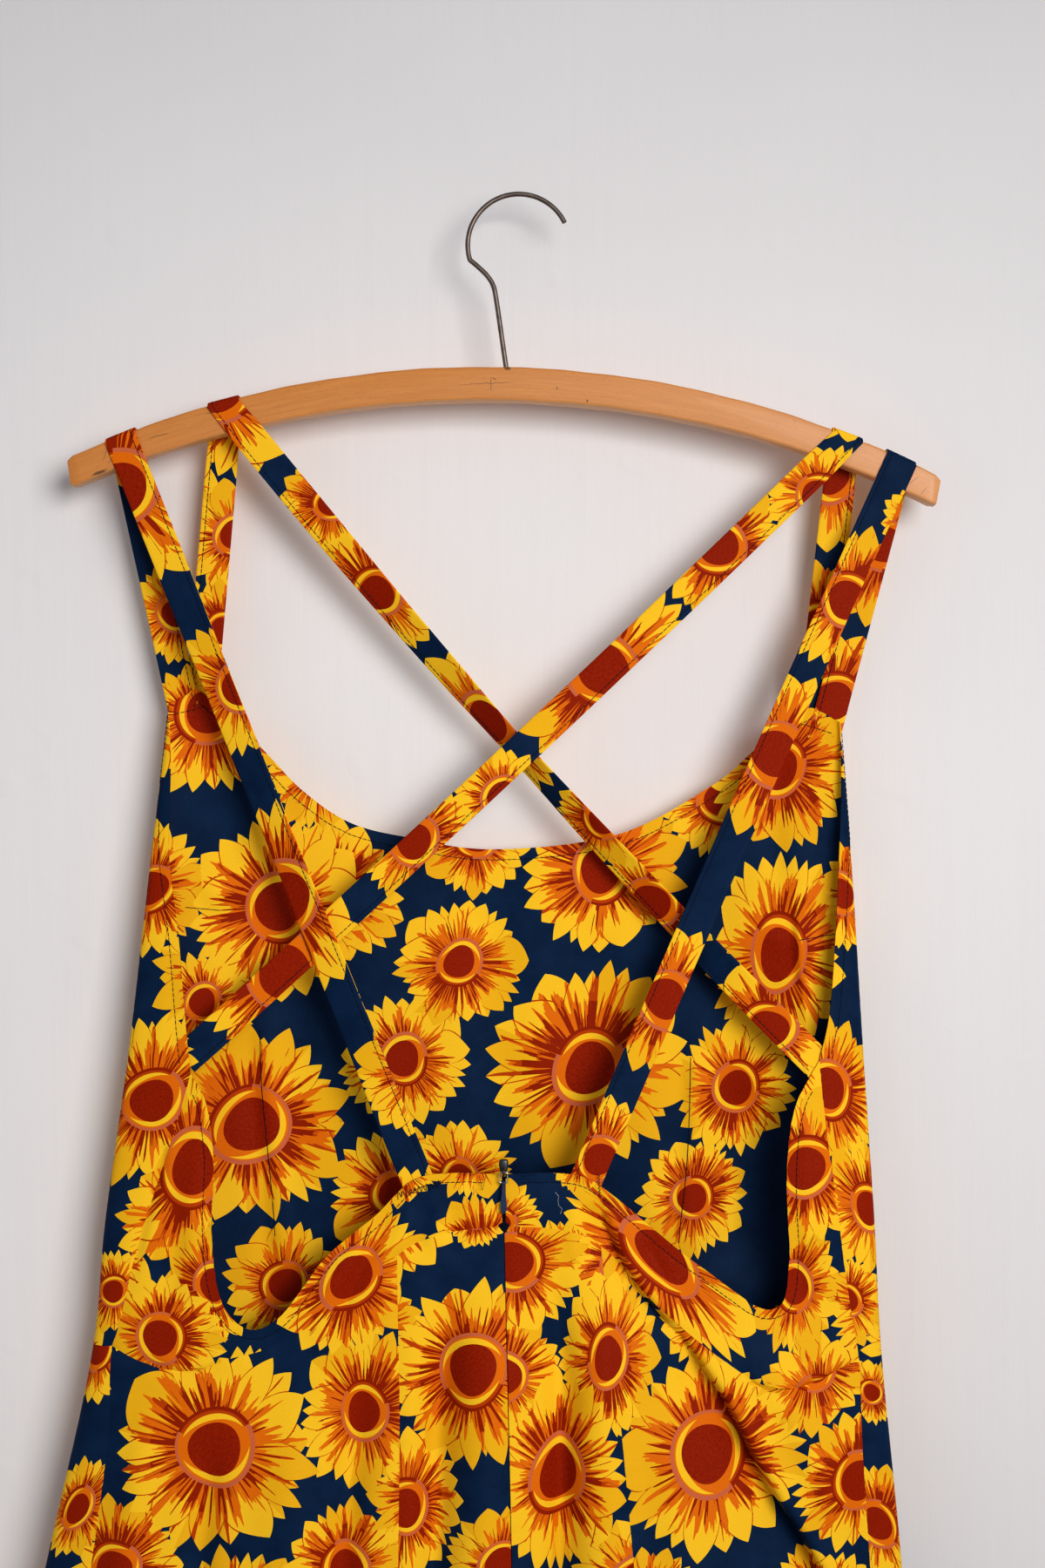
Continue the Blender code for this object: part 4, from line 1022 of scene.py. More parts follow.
def skin(shapes):
    """Vertices and faces of a closed skin over each list of rings, with flat ends."""
    vertices, faces = [], []
    for rings in shapes:
        index = len(vertices) + np.arange(rings[..., 0].size).reshape(rings.shape[:2])
        after = np.roll(index, -1, axis=1)
        quads = np.stack([index[:-1], after[:-1], after[1:], index[1:]], axis=-1).reshape(-1, 4)
        faces += [*quads.tolist(), index[0, ::-1].tolist(), index[-1].tolist()]
        vertices += rings.reshape(-1, 3).tolist()
    return np.array(vertices), faces


def tube(line, radius, sides, tapered=False):
    """Round rings along a line of points. A tapered tube has thin ends."""
    line = np.asarray(line, dtype=float)
    along = unit(np.gradient(line, axis=0))
    guide = (1, 0, 0) if np.abs(along[:, 1]).max() > 0.97 else (0, 1, 0)
    first = unit(np.cross(along, guide))
    size = np.ones(len(line)) * radius
    if tapered:
        size[[0, -1]] *= 0.45
    turns = np.linspace(0, 2 * math.pi, sides, endpoint=False)[:, None]
    around = np.cos(turns) * first[:, None] + np.sin(turns) * np.cross(along, first)[:, None]
    return line[:, None] + size[:, None, None] * around


def tube_piece(name, lines, radius, sides, colour, tapered=False):
    return new_piece(name, *skin([tube(line, radius, sides, tapered) for line in lines]), colour)


STITCH_LENGTH = 2.4
STITCH_GAP = 0.35
STITCH_LIFT = 0.08
THREAD_RADIUS = 0.21
LOOSE_RADIUS = 0.1


def thread_piece(name, lines, radius=THREAD_RADIUS, colour="thread", tapered=False):
    """Threads on the dress, which ride with it."""
    return ride(tube_piece(name, lines, radius, 5, colour, tapered))


def dashes(points):
    """Cut a line of points into stitches."""
    total = lengths_along(points)[-1]
    found = []
    start = 0.3
    while start + STITCH_LENGTH < total:
        shares = np.array([0.0, 0.2, 0.8, 1.0]) * STITCH_LENGTH + start
        found.append(at_shares(points, shares / total))
        start += STITCH_LENGTH + STITCH_GAP
    return found


def surface_line(line, layer, height):
    """A line of x, z laid on a layer, height above the cloth's inner face, with even points."""
    fine = at_shares(line, np.linspace(0, 1, max(3, int(lengths_along(line)[-1] / 2.0))))
    u, z = to_place(fine, layer).T
    return surface(u, z) + height * surface_normal(u, z)


def stitch_lines(name, layers, *lines):
    """Rows of stitches on both faces of the cloth, along lines of x, z."""
    heights = (SKIN_OUT + STITCH_LIFT, SKIN_IN - STITCH_LIFT)
    found = [dash for layer in layers for line in lines for height in heights
             for dash in dashes(surface_line(line, layer, height))]
    return thread_piece("stitches_" + name, found, tapered=True)


def stitch_strap(name, centres, widths, normals, side):
    """A row of stitches on both faces of a strap, along its stitched side."""
    row = centres + (0.5 * STRAP_WIDTH - STITCH_INSET) * side * widths
    found = [dash for face in (STRAP_STITCH_LIFT, -STRAP_STITCH_LIFT)
             for dash in dashes((row + face * normals)[2:-2])]
    thread_piece("stitches_" + name, found, tapered=True)


def make_stitches():
    left_edge, right_edge = back_rows(LEFT_BACK, 8)[1], back_rows(RIGHT_BACK, 8)[1]
    stitch_lines("neckline", ("far",), beside(through(NECKLINE, 12), NECK_INSET)[14:-14])
    stitch_lines("armholes", ("near",), beside(through(LEFT_ARMHOLE, 12), ARMHOLE_INSET)[2:-2],
                 beside(through(RIGHT_ARMHOLE, 12), -ARMHOLE_INSET)[2:-2])
    stitch_lines("back_left", ("near",), beside(left_edge, BACK_INSET)[3:-4])
    stitch_lines("back_right", ("near",), beside(right_edge, -BACK_INSET)[3:-4])
    stitch_lines("hem", ("near", "far"), hem_line(-322, 218, 90))
    # Continuous dark lines along the darts, in thread colour: painted shade of each dart's groove
    seams = [surface_line(through(line, 6), layer, height)
             for layer, line in DARTS for height in (SKIN_IN - 0.02, SKIN_OUT + 0.02)]
    thread_piece("dart_seam_shadows", seams, 0.2)
    stitch_lines("corners", ("far",), *CORNER_STITCHES)
    thread_piece("stitches_tacks", [surface_line(zigzag(*row), "near", SKIN_OUT + 0.1) for row in TACKS])
    thread_piece("loose_threads", [through(points, 6) for points in LOOSE_THREADS], LOOSE_RADIUS)
    lint = surface_line(through(LINT, 6), "near", SKIN_OUT + LOOSE_RADIUS)
    thread_piece("lint_thread", [lint], LOOSE_RADIUS, "lint")


# Rows of stitches across the two top corners of the front, as x, z
CORNER_STITCHES = (
    ((-174.5, -259.4), (-166, -257.3), (-158, -255)),
    ((141, -264), (150, -266.8), (157, -269.2)),
)
# Zigzag stitching that holds the straps' lower ends: from, to, number of turns, half width
TACKS = (
    ((-61, -497), (-40, -491.6), 22, 2.2),
    ((38.4, -486.8), (38.9, -497.4), 26, 0.8),
)
# Loose ends of thread at the top of the back, as x, y, z
LOOSE_THREADS = (
    ((-5, -21.6, -487.5), (-4, -22.4, -484), (-0.5, -22.8, -481.6), (4, -22.4, -482.6),
     (8.8, -22, -484.8), (6, -21.8, -486.6), (1.5, -21.6, -487.2)),
    ((-20.5, -21.6, -486.8), (-19.6, -22, -490.6), (-18.9, -22.1, -494), (-18, -22, -491),
     (-17, -21.6, -486.6)),
    ((-31, -21.2, -486.4), (-27, -21.8, -485.2), (-24, -21.8, -486.8), (-21, -21.8, -485.6)),
    ((-12.6, -21.6, -487), (-13.6, -22, -484.6), (-12, -22.4, -482.8), (-13.2, -22.4, -481)),
)
LINT = ((17, -495.5), (19, -498), (18, -501), (20.5, -503.6), (19.6, -506.0))


def zigzag(start, end, turns, half_width):
    """Points x, z that go from start to end and turn from side to side."""
    start, end = np.array(start, dtype=float), np.array(end, dtype=float)
    run = unit(end - start)
    shares = np.linspace(0.0, 1.0, turns)[:, None]
    sides = np.where(np.arange(turns) % 2, half_width, -half_width)[:, None]
    return start + shares * (end - start) + sides * np.array([-run[1], run[0]])


# The zip's slider: an oblong with soft edges, narrower below, and a bridge that holds the pull
SLIDER = (-8.4, -20.5)
SLIDER_RINGS = (
    # height, half width, half depth
    (-479.1, 0.7, 0.5), (-479.25, 1.5, 0.95), (-479.7, 2.05, 1.2), (-480.6, 2.3, 1.3),
    (-482.4, 2.3, 1.32), (-484.0, 1.95, 1.3), (-485.4, 1.6, 1.22), (-486.0, 1.35, 1.05),
    (-486.25, 0.8, 0.6),
)
BRIDGE = (-22.9, -485.2, 1.9, 0.5)
COIL_TOP = -487.0
COIL_END = -690.0
COIL_PITCH = 1.25
COIL_RADII = (0.75, 0.5)
COIL_WIRE = 0.2
COIL_DEPTH = 0.75
TOP_OF_SLIT = -514.0


def make_zip():
    """The slider's body and bridge, and the coil that shows in the slit."""
    angles = np.linspace(0, -2 * math.pi, 28, endpoint=False)
    across, deep = [np.sign(part) * np.abs(part) ** 0.7 for part in (np.cos(angles), np.sin(angles))]
    body = np.array([[(SLIDER[0] + width * x, SLIDER[1] + depth * y, z) for x, y in zip(across, deep)]
                     for z, width, depth in SLIDER_RINGS])
    y, z, radius, wire = BRIDGE
    arch = [(SLIDER[0], y + radius * math.cos(turn), z + radius * math.sin(turn))
            for turn in np.linspace(0, 2 * math.pi, 41)]
    slider = new_piece("slider_body", *skin([body, tube(arch, wire, 10)]), "metal")
    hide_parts("zip_slider")
    ride(slider)
    heights = np.linspace(COIL_TOP, COIL_END, 80)
    line = np.column_stack([np.where(heights > TOP_OF_SLIT, SLIDER[0] + 0.2,
                                     seam_x("centre", heights)), heights])
    turns = (COIL_TOP - COIL_END) / COIL_PITCH
    coil = at_shares(surface_line(line, "near", SKIN_IN - COIL_DEPTH), np.linspace(0, 1, int(9 * turns)))
    angle = np.linspace(0, 2 * math.pi * turns, len(coil))
    coil[:, 0] += COIL_RADII[0] * np.cos(angle)
    coil[:, 1] += COIL_RADII[1] * np.sin(angle)
    ride(tube_piece("zip_coil", [coil], COIL_WIRE, 4, "coil"))


def make_hook():
    """The bent wire, its peened end below the bar, and a dark disc round it that is painted shade of the
    hole in the bar.
    """
    arc = [(HOOK_CENTRE[0] + HOOK_RADIUS * math.cos(angle), HOOK_CENTRE[1] + HOOK_RADIUS * math.sin(angle))
           for angle in np.linspace(HOOK_TIP_ANGLE, HOOK_BACK_ANGLE, 67)]
    neck = through([arc[-1], *HOOK_NECK], 8)[1:]
    points = np.array([(x, 0.0, z) for x, z in [*arc, *neck, HOOK_END]])
    end, along = points[-1], unit(points[-1] - points[-2])
    hook = tube_piece("hook_wire", [points], HOOK_WIRE, 16, "steel")
    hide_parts("hanger_hook")
    head, hole = [[end + way * along for way in ways] for ways in (HEAD_WAYS, HOLE_WAYS)]
    ride(hook)
    ride(tube_piece("hook_head", [head], HEAD_RADII, 16, "steel"))
    # A near-black disc where the wire enters the bar: painted shade of the hole
    ride(tube_piece("hook_recess_shade", [hole], HOLE_RADIUS, 20, "dark"))


def make_bar():
    """The curved bar: a rounded section carried along the arc, worn a little uneven."""
    rows, wood = [], []
    for share in np.linspace(-1.0, 1.0, BAR_STEPS + 1):
        end = min((1 - abs(share)) * BAR_HALF_ANGLE * BAR_RADIUS / BAR_EDGE, 1.0)
        inset = BAR_EDGE * (1 - math.sqrt(1 - (1 - end) ** 2)) * 0.8
        height = BAR_HEIGHT_MIDDLE + (BAR_HEIGHT_END - BAR_HEIGHT_MIDDLE) * share ** 2
        row, spots = [], []
        for corner, (side, low) in enumerate(((-1, 0), (1, 0), (1, 1), (-1, 1))):
            wear = 0.12 * math.sin(share * 23 + 2 * corner) + 0.08 * math.sin(share * 61 + corner)
            for turn in np.radians(np.linspace(0, 90, 5)):
                out, up = math.cos(turn), math.sin(turn)
                if corner % 2:
                    out, up = up, out
                y = side * (0.5 * BAR_DEPTH - inset - BAR_EDGE * (1 - out))
                inward = BAR_EDGE * (1 - up) + inset
                down = height - inward if low else inward
                angle = share * (BAR_HALF_ANGLE + BAR_END_LEAN * down / height)
                place = bar_place(angle, BAR_RADIUS - down - (wear if low else -wear))
                row.append((place.x, y, place.y))
                spots.append((angle * BAR_RADIUS, down, y))
        rows.append(row[::-1])
        wood.append(spots[::-1])
    bar = new_piece("hanger_wood_bar", *skin([np.array(rows)]), "wood")
    spots = bar.data.attributes.new("wood", "FLOAT_VECTOR", "POINT")
    spots.data.foreach_set("vector", np.array(wood).ravel())
    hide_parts("hanger_bar")
    ride(bar)


def operator(operation):
    """An operator of Value that makes one maths node."""
    return lambda self, other: self.math(operation, other)


class Value:
    """A node's output. Operators and calls on it make more nodes."""

    __add__ = __radd__ = operator("ADD")
    __mul__ = __rmul__ = operator("MULTIPLY")
    __sub__ = operator("SUBTRACT")
    __truediv__ = operator("DIVIDE")
    __mod__ = operator("FLOORED_MODULO")
    __pow__ = operator("POWER")
    __gt__ = operator("GREATER_THAN")
    __lt__ = operator("LESS_THAN")

    def __init__(self, graph, socket):
        self.graph, self.socket = graph, socket

    def __rsub__(self, other):
        return self * -1.0 + other

    def math(self, operation, *others, clamp=False):
        return self.graph.made("Math", (self, *others), operation=operation, use_clamp=clamp)

    def line(self, slope, start):
        """The value times the slope, plus the start, kept from 0 to 1."""
        return self.math("MULTIPLY_ADD", slope, start, clamp=True)


class Graph:
    """A short way to write the nodes of a material or a group."""

    def __init__(self, tree):
        self.tree = tree

    def put(self, socket, value):
        if isinstance(value, Value):
            self.tree.links.new(value.socket, socket)
        else:
            socket.default_value = value

    def node(self, kind, values=(), **settings):
        """A new shader node, with values for its inputs in order or by name."""
        made = self.tree.nodes.new("ShaderNode" + kind)
        for name, value in settings.items():
            setattr(made, name, value)
        for place, value in values.items() if isinstance(values, dict) else enumerate(values):
            self.put(made.inputs[place], value)
        return made

    def made(self, kind, values=(), out=0, **settings):
        """One output of a new shader node."""
        return Value(self, self.node(kind, values, **settings).outputs[out])

    def split(self, vector):
        return [Value(self, part) for part in self.node("SeparateXYZ", (vector,)).outputs]

    def join(self, x, y, z=0.0):
        return self.made("CombineXYZ", (x, y, z))

    def vector(self, operation, *values, out="Vector"):
        return self.made("VectorMath", values, out, operation=operation)

    def length(self, x, y):
        return self.vector("LENGTH", self.join(x, y), out="Value")

    def mix(self, share, first, second):
        return self.made("Mix", {0: share, 6: first, 7: second}, 2, data_type="RGBA")

    def noise(self, place, scale, detail=1.0, roughness=0.5):
        given = {"Vector": place, "Scale": scale, "Detail": detail, "Roughness": roughness}
        return self.made("TexNoise", given)

    def stretched(self, place, scales, detail=1.0, roughness=0.5):
        """Noise with its own scale along each axis."""
        return self.noise(self.vector("MULTIPLY", place, scales), 1.0, detail, roughness)

    def attribute(self, name):
        return self.made("Attribute", out="Vector", attribute_name=name)

    def bump(self, height, strength, distance):
        return self.made("Bump", {"Height": height, "Strength": strength, "Distance": distance})


def flower_group(name, kind, output, fill):
    """A node group that turns a place on a flower into what fill makes of it."""
    tree = bpy.data.node_groups.new(name, "ShaderNodeTree")
    tree.interface.new_socket("Place", in_out="INPUT", socket_type="NodeSocketVector")
    tree.interface.new_socket(output, in_out="OUTPUT", socket_type=kind)
    graph = Graph(tree)
    place = Value(graph, tree.nodes.new("NodeGroupInput").outputs[0])
    graph.put(tree.nodes.new("NodeGroupOutput").inputs[0], fill(graph, place))
    return tree


PETALS = 12.0
DISC = 0.41
LONGEST = 1.10
TIP_SPREAD = 0.16
NOTCH = 0.41
YELLOW = (0.86, 0.505, 0.021, 1.0)
YELLOW_DEEP = (0.78, 0.415, 0.012, 1.0)
ORANGE = (0.68, 0.155, 0.004, 1.0)
RUST = (0.44, 0.056, 0.002, 1.0)
BRICK = (0.27, 0.019, 0.001, 1.0)
CORE = (0.200, 0.009, 0.001, 1.0)
CORE_LIGHT = (0.32, 0.023, 0.001, 1.0)
SALMON = (0.54, 0.135, 0.058, 1.0)
NAVY = (0.0033, 0.0140, 0.043, 1.0)
# Lighter navy that the print mixes in at random patches: painted sheen
NAVY_SHEEN = (0.0062, 0.025, 0.068, 1.0)


def petal_ring(graph, phase, seed, longest):
    """How far one ring of petals reaches in a direction, how near its gap is, and its chance."""
    cell = phase.math("FLOOR") % PETALS
    chance = graph.made("TexWhiteNoise", (graph.join(cell, seed),), noise_dimensions="2D")
    middle = (phase.math("FRACT") * 2.0 - 1.0).math("ABSOLUTE")
    tip = chance * TIP_SPREAD + (longest - TIP_SPREAD)
    depth = ((chance * 7.3).math("FRACT") * 0.6 + 0.7) * NOTCH
    bite = (1.0 - (1.0 - middle) ** 0.62) * depth
    return tip - bite, middle, chance


def flower_angles(graph, place):
    """A place on a flower as x, y, its seed, distance, direction, and petal counted round."""
    x, y, seed = graph.split(place)
    seed = seed.math("ROUND")
    angle = y.math("ARCTAN2", x)
    wave = (angle * 3.0 + seed * 7.0).math("SINE")
    beat = (angle * 5.0 + seed * 3.0).math("SINE")
    phase = angle * (PETALS / (2 * math.pi)) + wave * 0.20 + beat * 0.13
    return x, y, seed, graph.length(x, y), angle, phase


def outline(graph, place):
    """1 where a place on a flower is inside its two rings of pointed petals."""
    _, _, seed, radius, _, phase = flower_angles(graph, place)
    front = petal_ring(graph, phase, seed, LONGEST)[0]
    behind = petal_ring(graph, phase + 0.5, seed + 31.0, LONGEST - 0.03)[0]
    return radius < front.math("MAXIMUM", behind)


def circle(graph, x, y, centre, size):
    """1 inside a circle."""
    return graph.length(x - centre[0], y - centre[1]) < size


def crescent(graph, x, y, size, toward, half_span, thick):
    """1 inside a crescent that lies along the inside of a circle. Angles are in degrees."""
    cosine = math.cos(math.radians(half_span))
    shift = thick / (1 - cosine)
    turn = math.radians(toward)
    centre = (-shift * math.cos(turn), -shift * math.sin(turn))
    hollow = circle(graph, x, y, centre, size + shift * cosine)
    return circle(graph, x, y, (0.0, 0.0), size) * (1.0 - hollow)


def petal_colours(graph, seed, radius, angle, phase, around):
    """Yellow petals with orange flames from their roots, and thin brick strokes on these."""
    front, gap, chance = petal_ring(graph, phase, seed, LONGEST)
    depth = radius * 0.10 + seed * 1.7
    strokes = graph.noise(graph.vector("ADD", around, graph.join(0.0, 0.0, depth)), 17.0)
    flames = graph.noise(graph.vector("ADD", around, graph.join(3.0, 5.0, depth)), 8.0)
    root = (radius - DISC) / (1 - DISC)
    side = (angle + seed * 5.0).math("SINE")
    behind = radius - front
    under = (behind > 0.0) * behind.line(-5.0, 0.5)
    crowd = gap ** 6.0 * 0.10 + (chance > 0.82) * 0.045 + under * 0.16
    brick = strokes + crowd > root * 0.30 + 0.510 + side * 0.05
    orange = flames * 0.55 + crowd + strokes * 0.45 > root * 0.37 + 0.373 + side * 0.03
    line = (behind > 0.0) * (behind < 0.018)
    colour = graph.mix(orange, graph.mix(chance > 0.62, YELLOW, YELLOW_DEEP), ORANGE)
    colour = graph.mix(brick, colour, graph.mix(root > 0.42, BRICK, RUST))
    return graph.mix(line, colour, RUST)


def disc_colours(graph, place, x, y, seed, angle):
    """The disc: a salmon and brick rim, an orange ring with two yellow crescents, a brick core."""
    squash = (seed * 3.1).math("SINE") * 0.12 + 1.04
    x = x * squash / DISC + (angle * 2.0 + seed).math("SINE") * 0.045
    y = y / DISC
    whole = circle(graph, x, y, (0.0, 0.0), 1.0)
    inner = circle(graph, x, y, (0.015, -0.015), 0.91)
    shade = (angle + 0.6).math("SINE") < -0.5
    deep = circle(graph, x, y, (0.03, 0.03), 0.87)
    ring = graph.mix(shade * (1.0 - deep), ORANGE, RUST)
    light = crescent(graph, x, y, 0.86, 62.0, 74.0, 0.19).math(
        "MAXIMUM", crescent(graph, x, y, 0.83, 238.0, 52.0, 0.15))
    speckle = graph.stretched(place, (34.0, 34.0, 1.0), 3.0, 0.7)
    dark = graph.mix(speckle.line(2.2, -0.6), CORE, CORE_LIGHT)
    core = circle(graph, x, y, (0.05, 0.02), 0.66)
    face = graph.mix(core, graph.mix(light, ring, YELLOW), dark)
    return graph.mix(inner, graph.mix(shade, SALMON, BRICK), face), whole


def flower_colours(graph, place):
    """The printed colours of one flower."""
    x, y, seed, radius, angle, phase = flower_angles(graph, place)
    around = graph.vector("NORMALIZE", graph.join(x, y))
    petals = petal_colours(graph, seed, radius, angle, phase, around)
    disc, whole = disc_colours(graph, place, x, y, seed, angle)
    return graph.mix(whole, petals, disc)


def new_material(name):
    """A material, its graph, and a function that sets its shader's inputs by name."""
    made = bpy.data.materials.new(name)
    made.use_nodes = True
    graph = Graph(made.node_tree)
    shader = made.node_tree.nodes["Principled BSDF"]

    def finish(**given):
        for socket, value in given.items():
            graph.put(shader.inputs[socket.replace("_", " ")], value)
        return made

    return graph, finish


def print_material():
    """Navy viscose printed with sunflowers: the first layer's flowers lie over the second's."""
    graph, finish = new_material("printed_viscose")
    shape = flower_group("sunflower_outline", "NodeSocketFloat", "Inside", outline)
    colours = flower_group("sunflower_colours", "NodeSocketColor", "Colour", flower_colours)
    place, inside = None, None
    for name in reversed(PRINT_LAYERS):
        own = graph.attribute(name)
        covers = graph.made("Group", (own,), node_tree=shape)
        if place is None:
            place, inside = own, covers
        else:
            place = graph.made("Mix", {0: covers, 4: place, 5: own}, 1, data_type="VECTOR")
            inside = inside.math("MAXIMUM", covers)
    flower = graph.made("Group", (place,), node_tree=colours)
    cloth = graph.attribute("cloth")
    # The navy is made lighter in random patches: painted sheen on the cloth
    navy = graph.mix(graph.noise(cloth, 0.06, 4.0, 0.65).line(2.0, -0.5), NAVY, NAVY_SHEEN)
    weave = graph.stretched(cloth, (3.2, 0.9, 1.0), 2.0)
    colour = graph.made("HueSaturation", {"Color": graph.mix(inside, navy, flower),
                                          "Value": weave * 0.22 + 0.89})
    return finish(Base_Color=colour, Roughness=0.58, Specular_IOR_Level=0.05,
                  Normal=graph.bump(weave, 0.25, 0.0003))


# Cracks, scratches and dents in the front face of the bar
WOOD_MARKS = (
    # along the bar from its middle, down from its top, half length, half width, lean in degrees
    (-9.3, 8.4, 13.5, 0.16, -3), (-7.6, 9, 3.8, 0.17, 88), (-6, 6, 1.3, 0.24, 24),
    (0.6, 0.6, 1.7, 1.1, 0), (26, 9.8, 0.8, 0.35, 80), (42, 14.5, 0.6, 0.6, 0), (-179, 7, 5.6, 0.18, 6),
    (-150, 4.2, 3, 0.14, 12), (-205, 9, 4.5, 0.13, -35), (-207, 5.5, 5, 0.12, -48),
    (-197, 12.6, 2.6, 0.34, 10), (-214, 13.2, 4, 0.8, 4), (214, 8, 3.4, 0.13, -60),
    (206, 5, 2.4, 0.14, 20), (221, 10.5, 2.6, 0.15, -75),
)
BEECH = (0.47, 0.165, 0.026, 1.0)
BEECH_LIGHT = (0.63, 0.255, 0.052, 1.0)
BEECH_BLOTCH = (0.56, 0.205, 0.036, 1.0)
# Tone of the bar's right end: partly the wood's own paler tone, partly painted light
BEECH_PALE_AND_LIT = (0.70, 0.34, 0.155, 1.0)
BEECH_WORN = (0.78, 0.46, 0.22, 1.0)
BEECH_PORE = (0.20, 0.075, 0.02, 1.0)
BEECH_MARK = (0.075, 0.028, 0.010, 1.0)


def wood_marks(graph, wood, along, down, depth):
    """1 in the middle of each mark and 0 away from it."""
    down = down + graph.stretched(wood, (0.25, 0.25, 0.0), 2.0) * 1.6 - 0.8
    found = None
    for centre, height, length, width, lean in WOOD_MARKS:
        turn = math.radians(lean)
        gap, drop = along - centre, down - height
        way = gap * (math.cos(turn) / length) + drop * (math.sin(turn) / length)
        off = drop * (math.cos(turn) / width) - gap * (math.sin(turn) / width)
        mark = graph.length(way, off).line(-1.6, 2.0)
        found = mark if found is None else found.math("MAXIMUM", mark)
    return found * (depth < 2.0 - 0.5 * BAR_DEPTH)


def wood_material():
    """Honey-coloured varnished beech with fine grain, small pores, marks and a worn underside."""
    graph, finish = new_material("hanger_beech")
    wood = graph.attribute("wood")
    along, down, depth = graph.split(wood)
    grain = graph.stretched(wood, (0.035, 0.9, 0.9), 4.0, 0.62)
    pores = graph.stretched(wood, (0.35, 2.6, 2.6), 2.0, 0.6)
    blotch = graph.stretched(wood, (0.02, 0.06, 0.06), 2.0)
    facing_up = graph.split(graph.made("NewGeometry", out="Normal"))[2]
    marks = wood_marks(graph, wood, along, down, depth)
    colour = graph.mix(grain.line(1.8, -0.4), BEECH, BEECH_LIGHT)
    for share, over in ((blotch.line(1.2, -0.35), BEECH_BLOTCH),
                        # Paler towards the right end: partly the wood's own tone, partly painted light
                        # from the window on the right
                        (along.line(0.0028, 0.12) * 0.6, BEECH_PALE_AND_LIT),
                        (facing_up.line(-1.6, -0.5) * 0.55, BEECH_WORN),
                        ((pores > 0.66) * 0.35, BEECH_PORE), (marks * 0.82, BEECH_MARK)):
        colour = graph.mix(share, colour, over)
    return finish(Base_Color=colour, Roughness=0.48, Coat_Weight=0.08,
                  Normal=graph.bump(grain, 0.2, 0.0003))


def plain_material(name, colour, roughness, metallic=0.0, coat=0.0, spots=900.0, shine=0.5,
                   spread=(0.6, 1.25)):
    """One colour, made a little uneven by spots."""
    graph, finish = new_material(name)
    uneven = graph.noise(graph.made("TexCoord", out="Object"), spots, 3.0).line(1.6, -0.3)
    low, high = [tuple(min(part * share, 1.0) for part in colour) + (1.0,) for share in spread]
    return finish(Base_Color=graph.mix(uneven, low, high), Roughness=roughness, Metallic=metallic,
                  Coat_Weight=coat, Specular_IOR_Level=shine)


MATERIALS = {
    "print": print_material(),
    "wood": wood_material(),
    "thread": plain_material("navy_thread", (0.006, 0.009, 0.020), 0.8, shine=0.1),
    "steel": plain_material("aged_steel", (0.17, 0.135, 0.115), 0.42, 0.9, spots=260.0),
    "tape": plain_material("zip_tape_cloth", (0.003, 0.006, 0.015), 0.85, shine=0.08),
    "metal": plain_material("dark_metal", (0.06, 0.06, 0.065), 0.38, 0.85),
    "bright": plain_material("bright_metal", (0.50, 0.48, 0.45), 0.3, 1.0),
    "enamel": plain_material("navy_enamel", (0.012, 0.028, 0.085), 0.3, coat=0.4),
    # Near-black for the disc round the hook's end: painted shade of its hole
    "dark": plain_material("painted_recess_shade", (0.020, 0.010, 0.006), 0.9, shine=0.1),
    "coil": plain_material("navy_nylon", (0.006, 0.011, 0.026), 0.45, shine=0.3),
    "lint": plain_material("pale_lint", (0.55, 0.50, 0.44), 0.9),
}


def dress_cad_nodes():
    """Materials for the hard parts that are shown as packed."""
    for name, colour, slot in (("zip_pull_loop", "bright", "loop_metal"),
                               ("zip_pull_tab", "enamel", "tab_enamel"),
                               ("zip_tape", "tape", "zip_cloth")):
        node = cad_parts[name]
        node.data.materials.clear()
        node.data.materials.append(MATERIALS[colour])


PLASTER = (0.675, 0.658, 0.663, 1.0)
PLASTER_LIGHT = (0.75, 0.735, 0.738, 1.0)


def plaster_material():
    """Pale brushed plaster, which from behind is clear and lets light through."""
    graph, finish = new_material("plaster")
    place = graph.made("TexCoord", out="Object")
    strokes = graph.stretched(place, (110.0, 60.0, 7.0), 4.0)
    fine = graph.noise(place, 42.0, 1.0).line(5.0, -3.3) * 0.9 + graph.noise(place, 150.0, 2.0) * 0.12
    tone = graph.mix(graph.noise(place, 3.0, 3.0).line(1.2, -0.1), PLASTER, PLASTER_LIGHT)
    made = finish(Base_Color=tone, Roughness=0.85, Normal=graph.bump(fine + strokes, 0.28, 0.0012))
    nodes = made.node_tree.nodes
    shaded = Value(graph, nodes["Principled BSDF"].outputs[0])
    behind = graph.made("NewGeometry", out="Backfacing")
    to_light = graph.made("LightPath", out="Is Shadow Ray")
    clear = graph.made("BsdfTransparent")
    mixed = graph.made("MixShader", (behind.math("MAXIMUM", to_light), shaded, clear))
    graph.put(nodes["Material Output"].inputs["Surface"], mixed)
    return made


WALL_LOW_Y = 0.043
WALL_HIGH_Y = 0.010
WALL_TOP_Z = 1.4
WALL_HALF_WIDTH = 2.2
FLOOR_Z = -1.62
FLOOR_HALF_WIDTH = 6.0


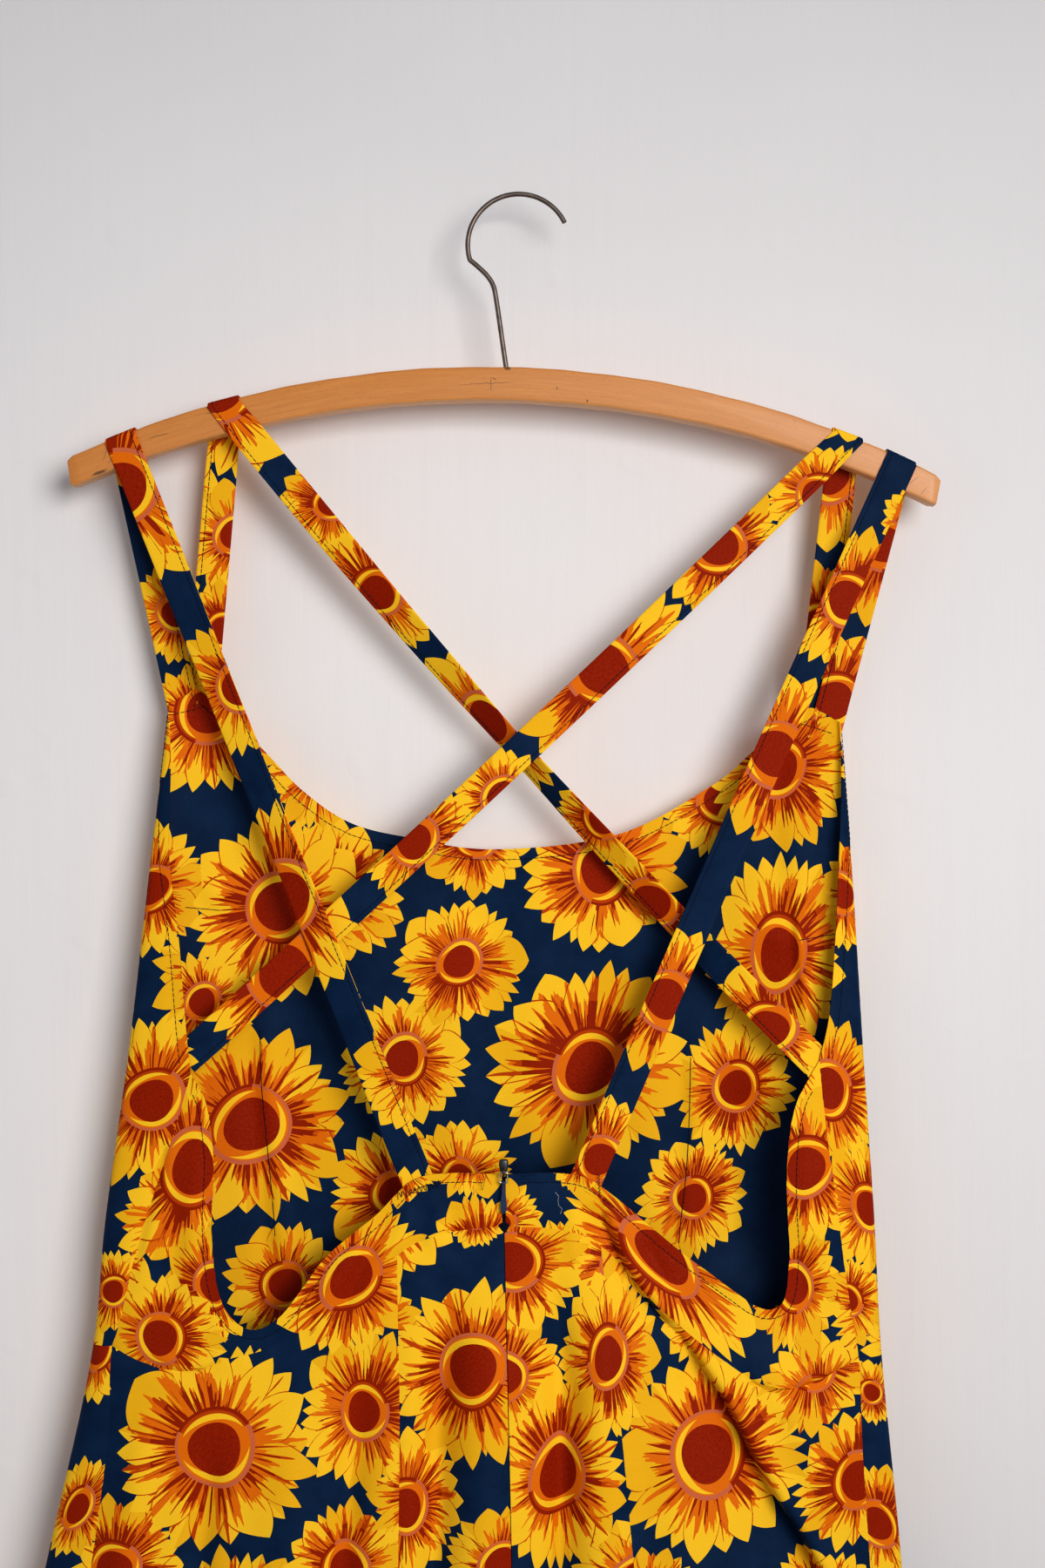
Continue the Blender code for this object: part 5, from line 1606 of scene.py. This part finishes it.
def make_stage():
    """A plastered wall that leans away below, and a pale floor."""
    paint = plain_material("floor_paint", (0.55, 0.54, 0.53), 0.8, spots=4.0, spread=(0.95, 1.03))
    for name, half, low, high, look in (
            ("stage_wall", WALL_HALF_WIDTH, (WALL_LOW_Y, FLOOR_Z), (WALL_HIGH_Y, WALL_TOP_Z),
             plaster_material()),
            ("stage_floor", FLOOR_HALF_WIDTH, (-FLOOR_HALF_WIDTH, FLOOR_Z), (FLOOR_HALF_WIDTH, FLOOR_Z),
             paint)):
        mesh = bpy.data.meshes.new(name)
        corners = [(-half, *low), (half, *low), (half, *high), (-half, *high)]
        mesh.from_pydata(corners, [], [(0, 1, 2, 3)])
        mesh.materials.append(look)
        link(bpy.data.objects.new(name, mesh))


LIGHTS = (
    # name, place, target, size, power, spread in degrees, colour
    ("window", (0.78, -1.8, 0.0), (-0.01, 0.0, -0.38), 1.0, 4.3, 60.0, (1.0, 0.985, 0.965)),
    ("room", (-1.7, -1.6, -0.3), (-0.2, 0.0, -0.5), 2.0, 4.0, 180.0, (0.96, 0.98, 1.0)),
    ("behind", (0.4, 2.4, 0.6), (0.0, 0.0, -0.5), 2.4, 30.0, 180.0, (1.0, 1.0, 1.0)),
)
SKY = (0.93, 0.94, 1.0, 1.0)
SKY_STRENGTH = 0.3


def make_lights():
    """A window on the right, the room's soft light, a light behind the wall, and a pale sky."""
    for name, place, target, size, power, spread, colour in LIGHTS:
        data = bpy.data.lights.new(name, "AREA")
        data.spread = math.radians(spread)
        data.size = size
        data.energy = power
        data.color = colour
        light = link(bpy.data.objects.new(name, data))
        light.location = place
        light.rotation_euler = (Vector(target) - Vector(place)).to_track_quat("-Z", "Y").to_euler()
    world = bpy.data.worlds.new("pale_room")
    world.use_nodes = True
    background = world.node_tree.nodes["Background"]
    background.inputs["Color"].default_value = SKY
    background.inputs["Strength"].default_value = SKY_STRENGTH
    scene = bpy.context.scene
    scene.world = world
    scene.view_settings.view_transform = "Standard"
    scene.view_settings.look = "Medium High Contrast"


LENS = 50.0
SENSOR_WIDTH = 36.0
CAMERA_PLACE = (0.000874, -1.092, -0.294538)


def make_camera():
    data = bpy.data.cameras.new("camera")
    data.lens = LENS
    data.sensor_width = SENSOR_WIDTH
    data.sensor_fit = "AUTO"
    camera = link(bpy.data.objects.new("camera", data))
    camera.location = CAMERA_PLACE
    camera.rotation_euler = (math.radians(90), 0.0, 0.0)
    bpy.context.scene.camera = camera


clear_default_objects()
make_stage()
make_lights()
make_camera()
PIECES = make_bands() + make_skirt() + make_front() + make_straps()
make_stitches()
make_zip()
make_bar()
make_hook()
dress_cad_nodes()
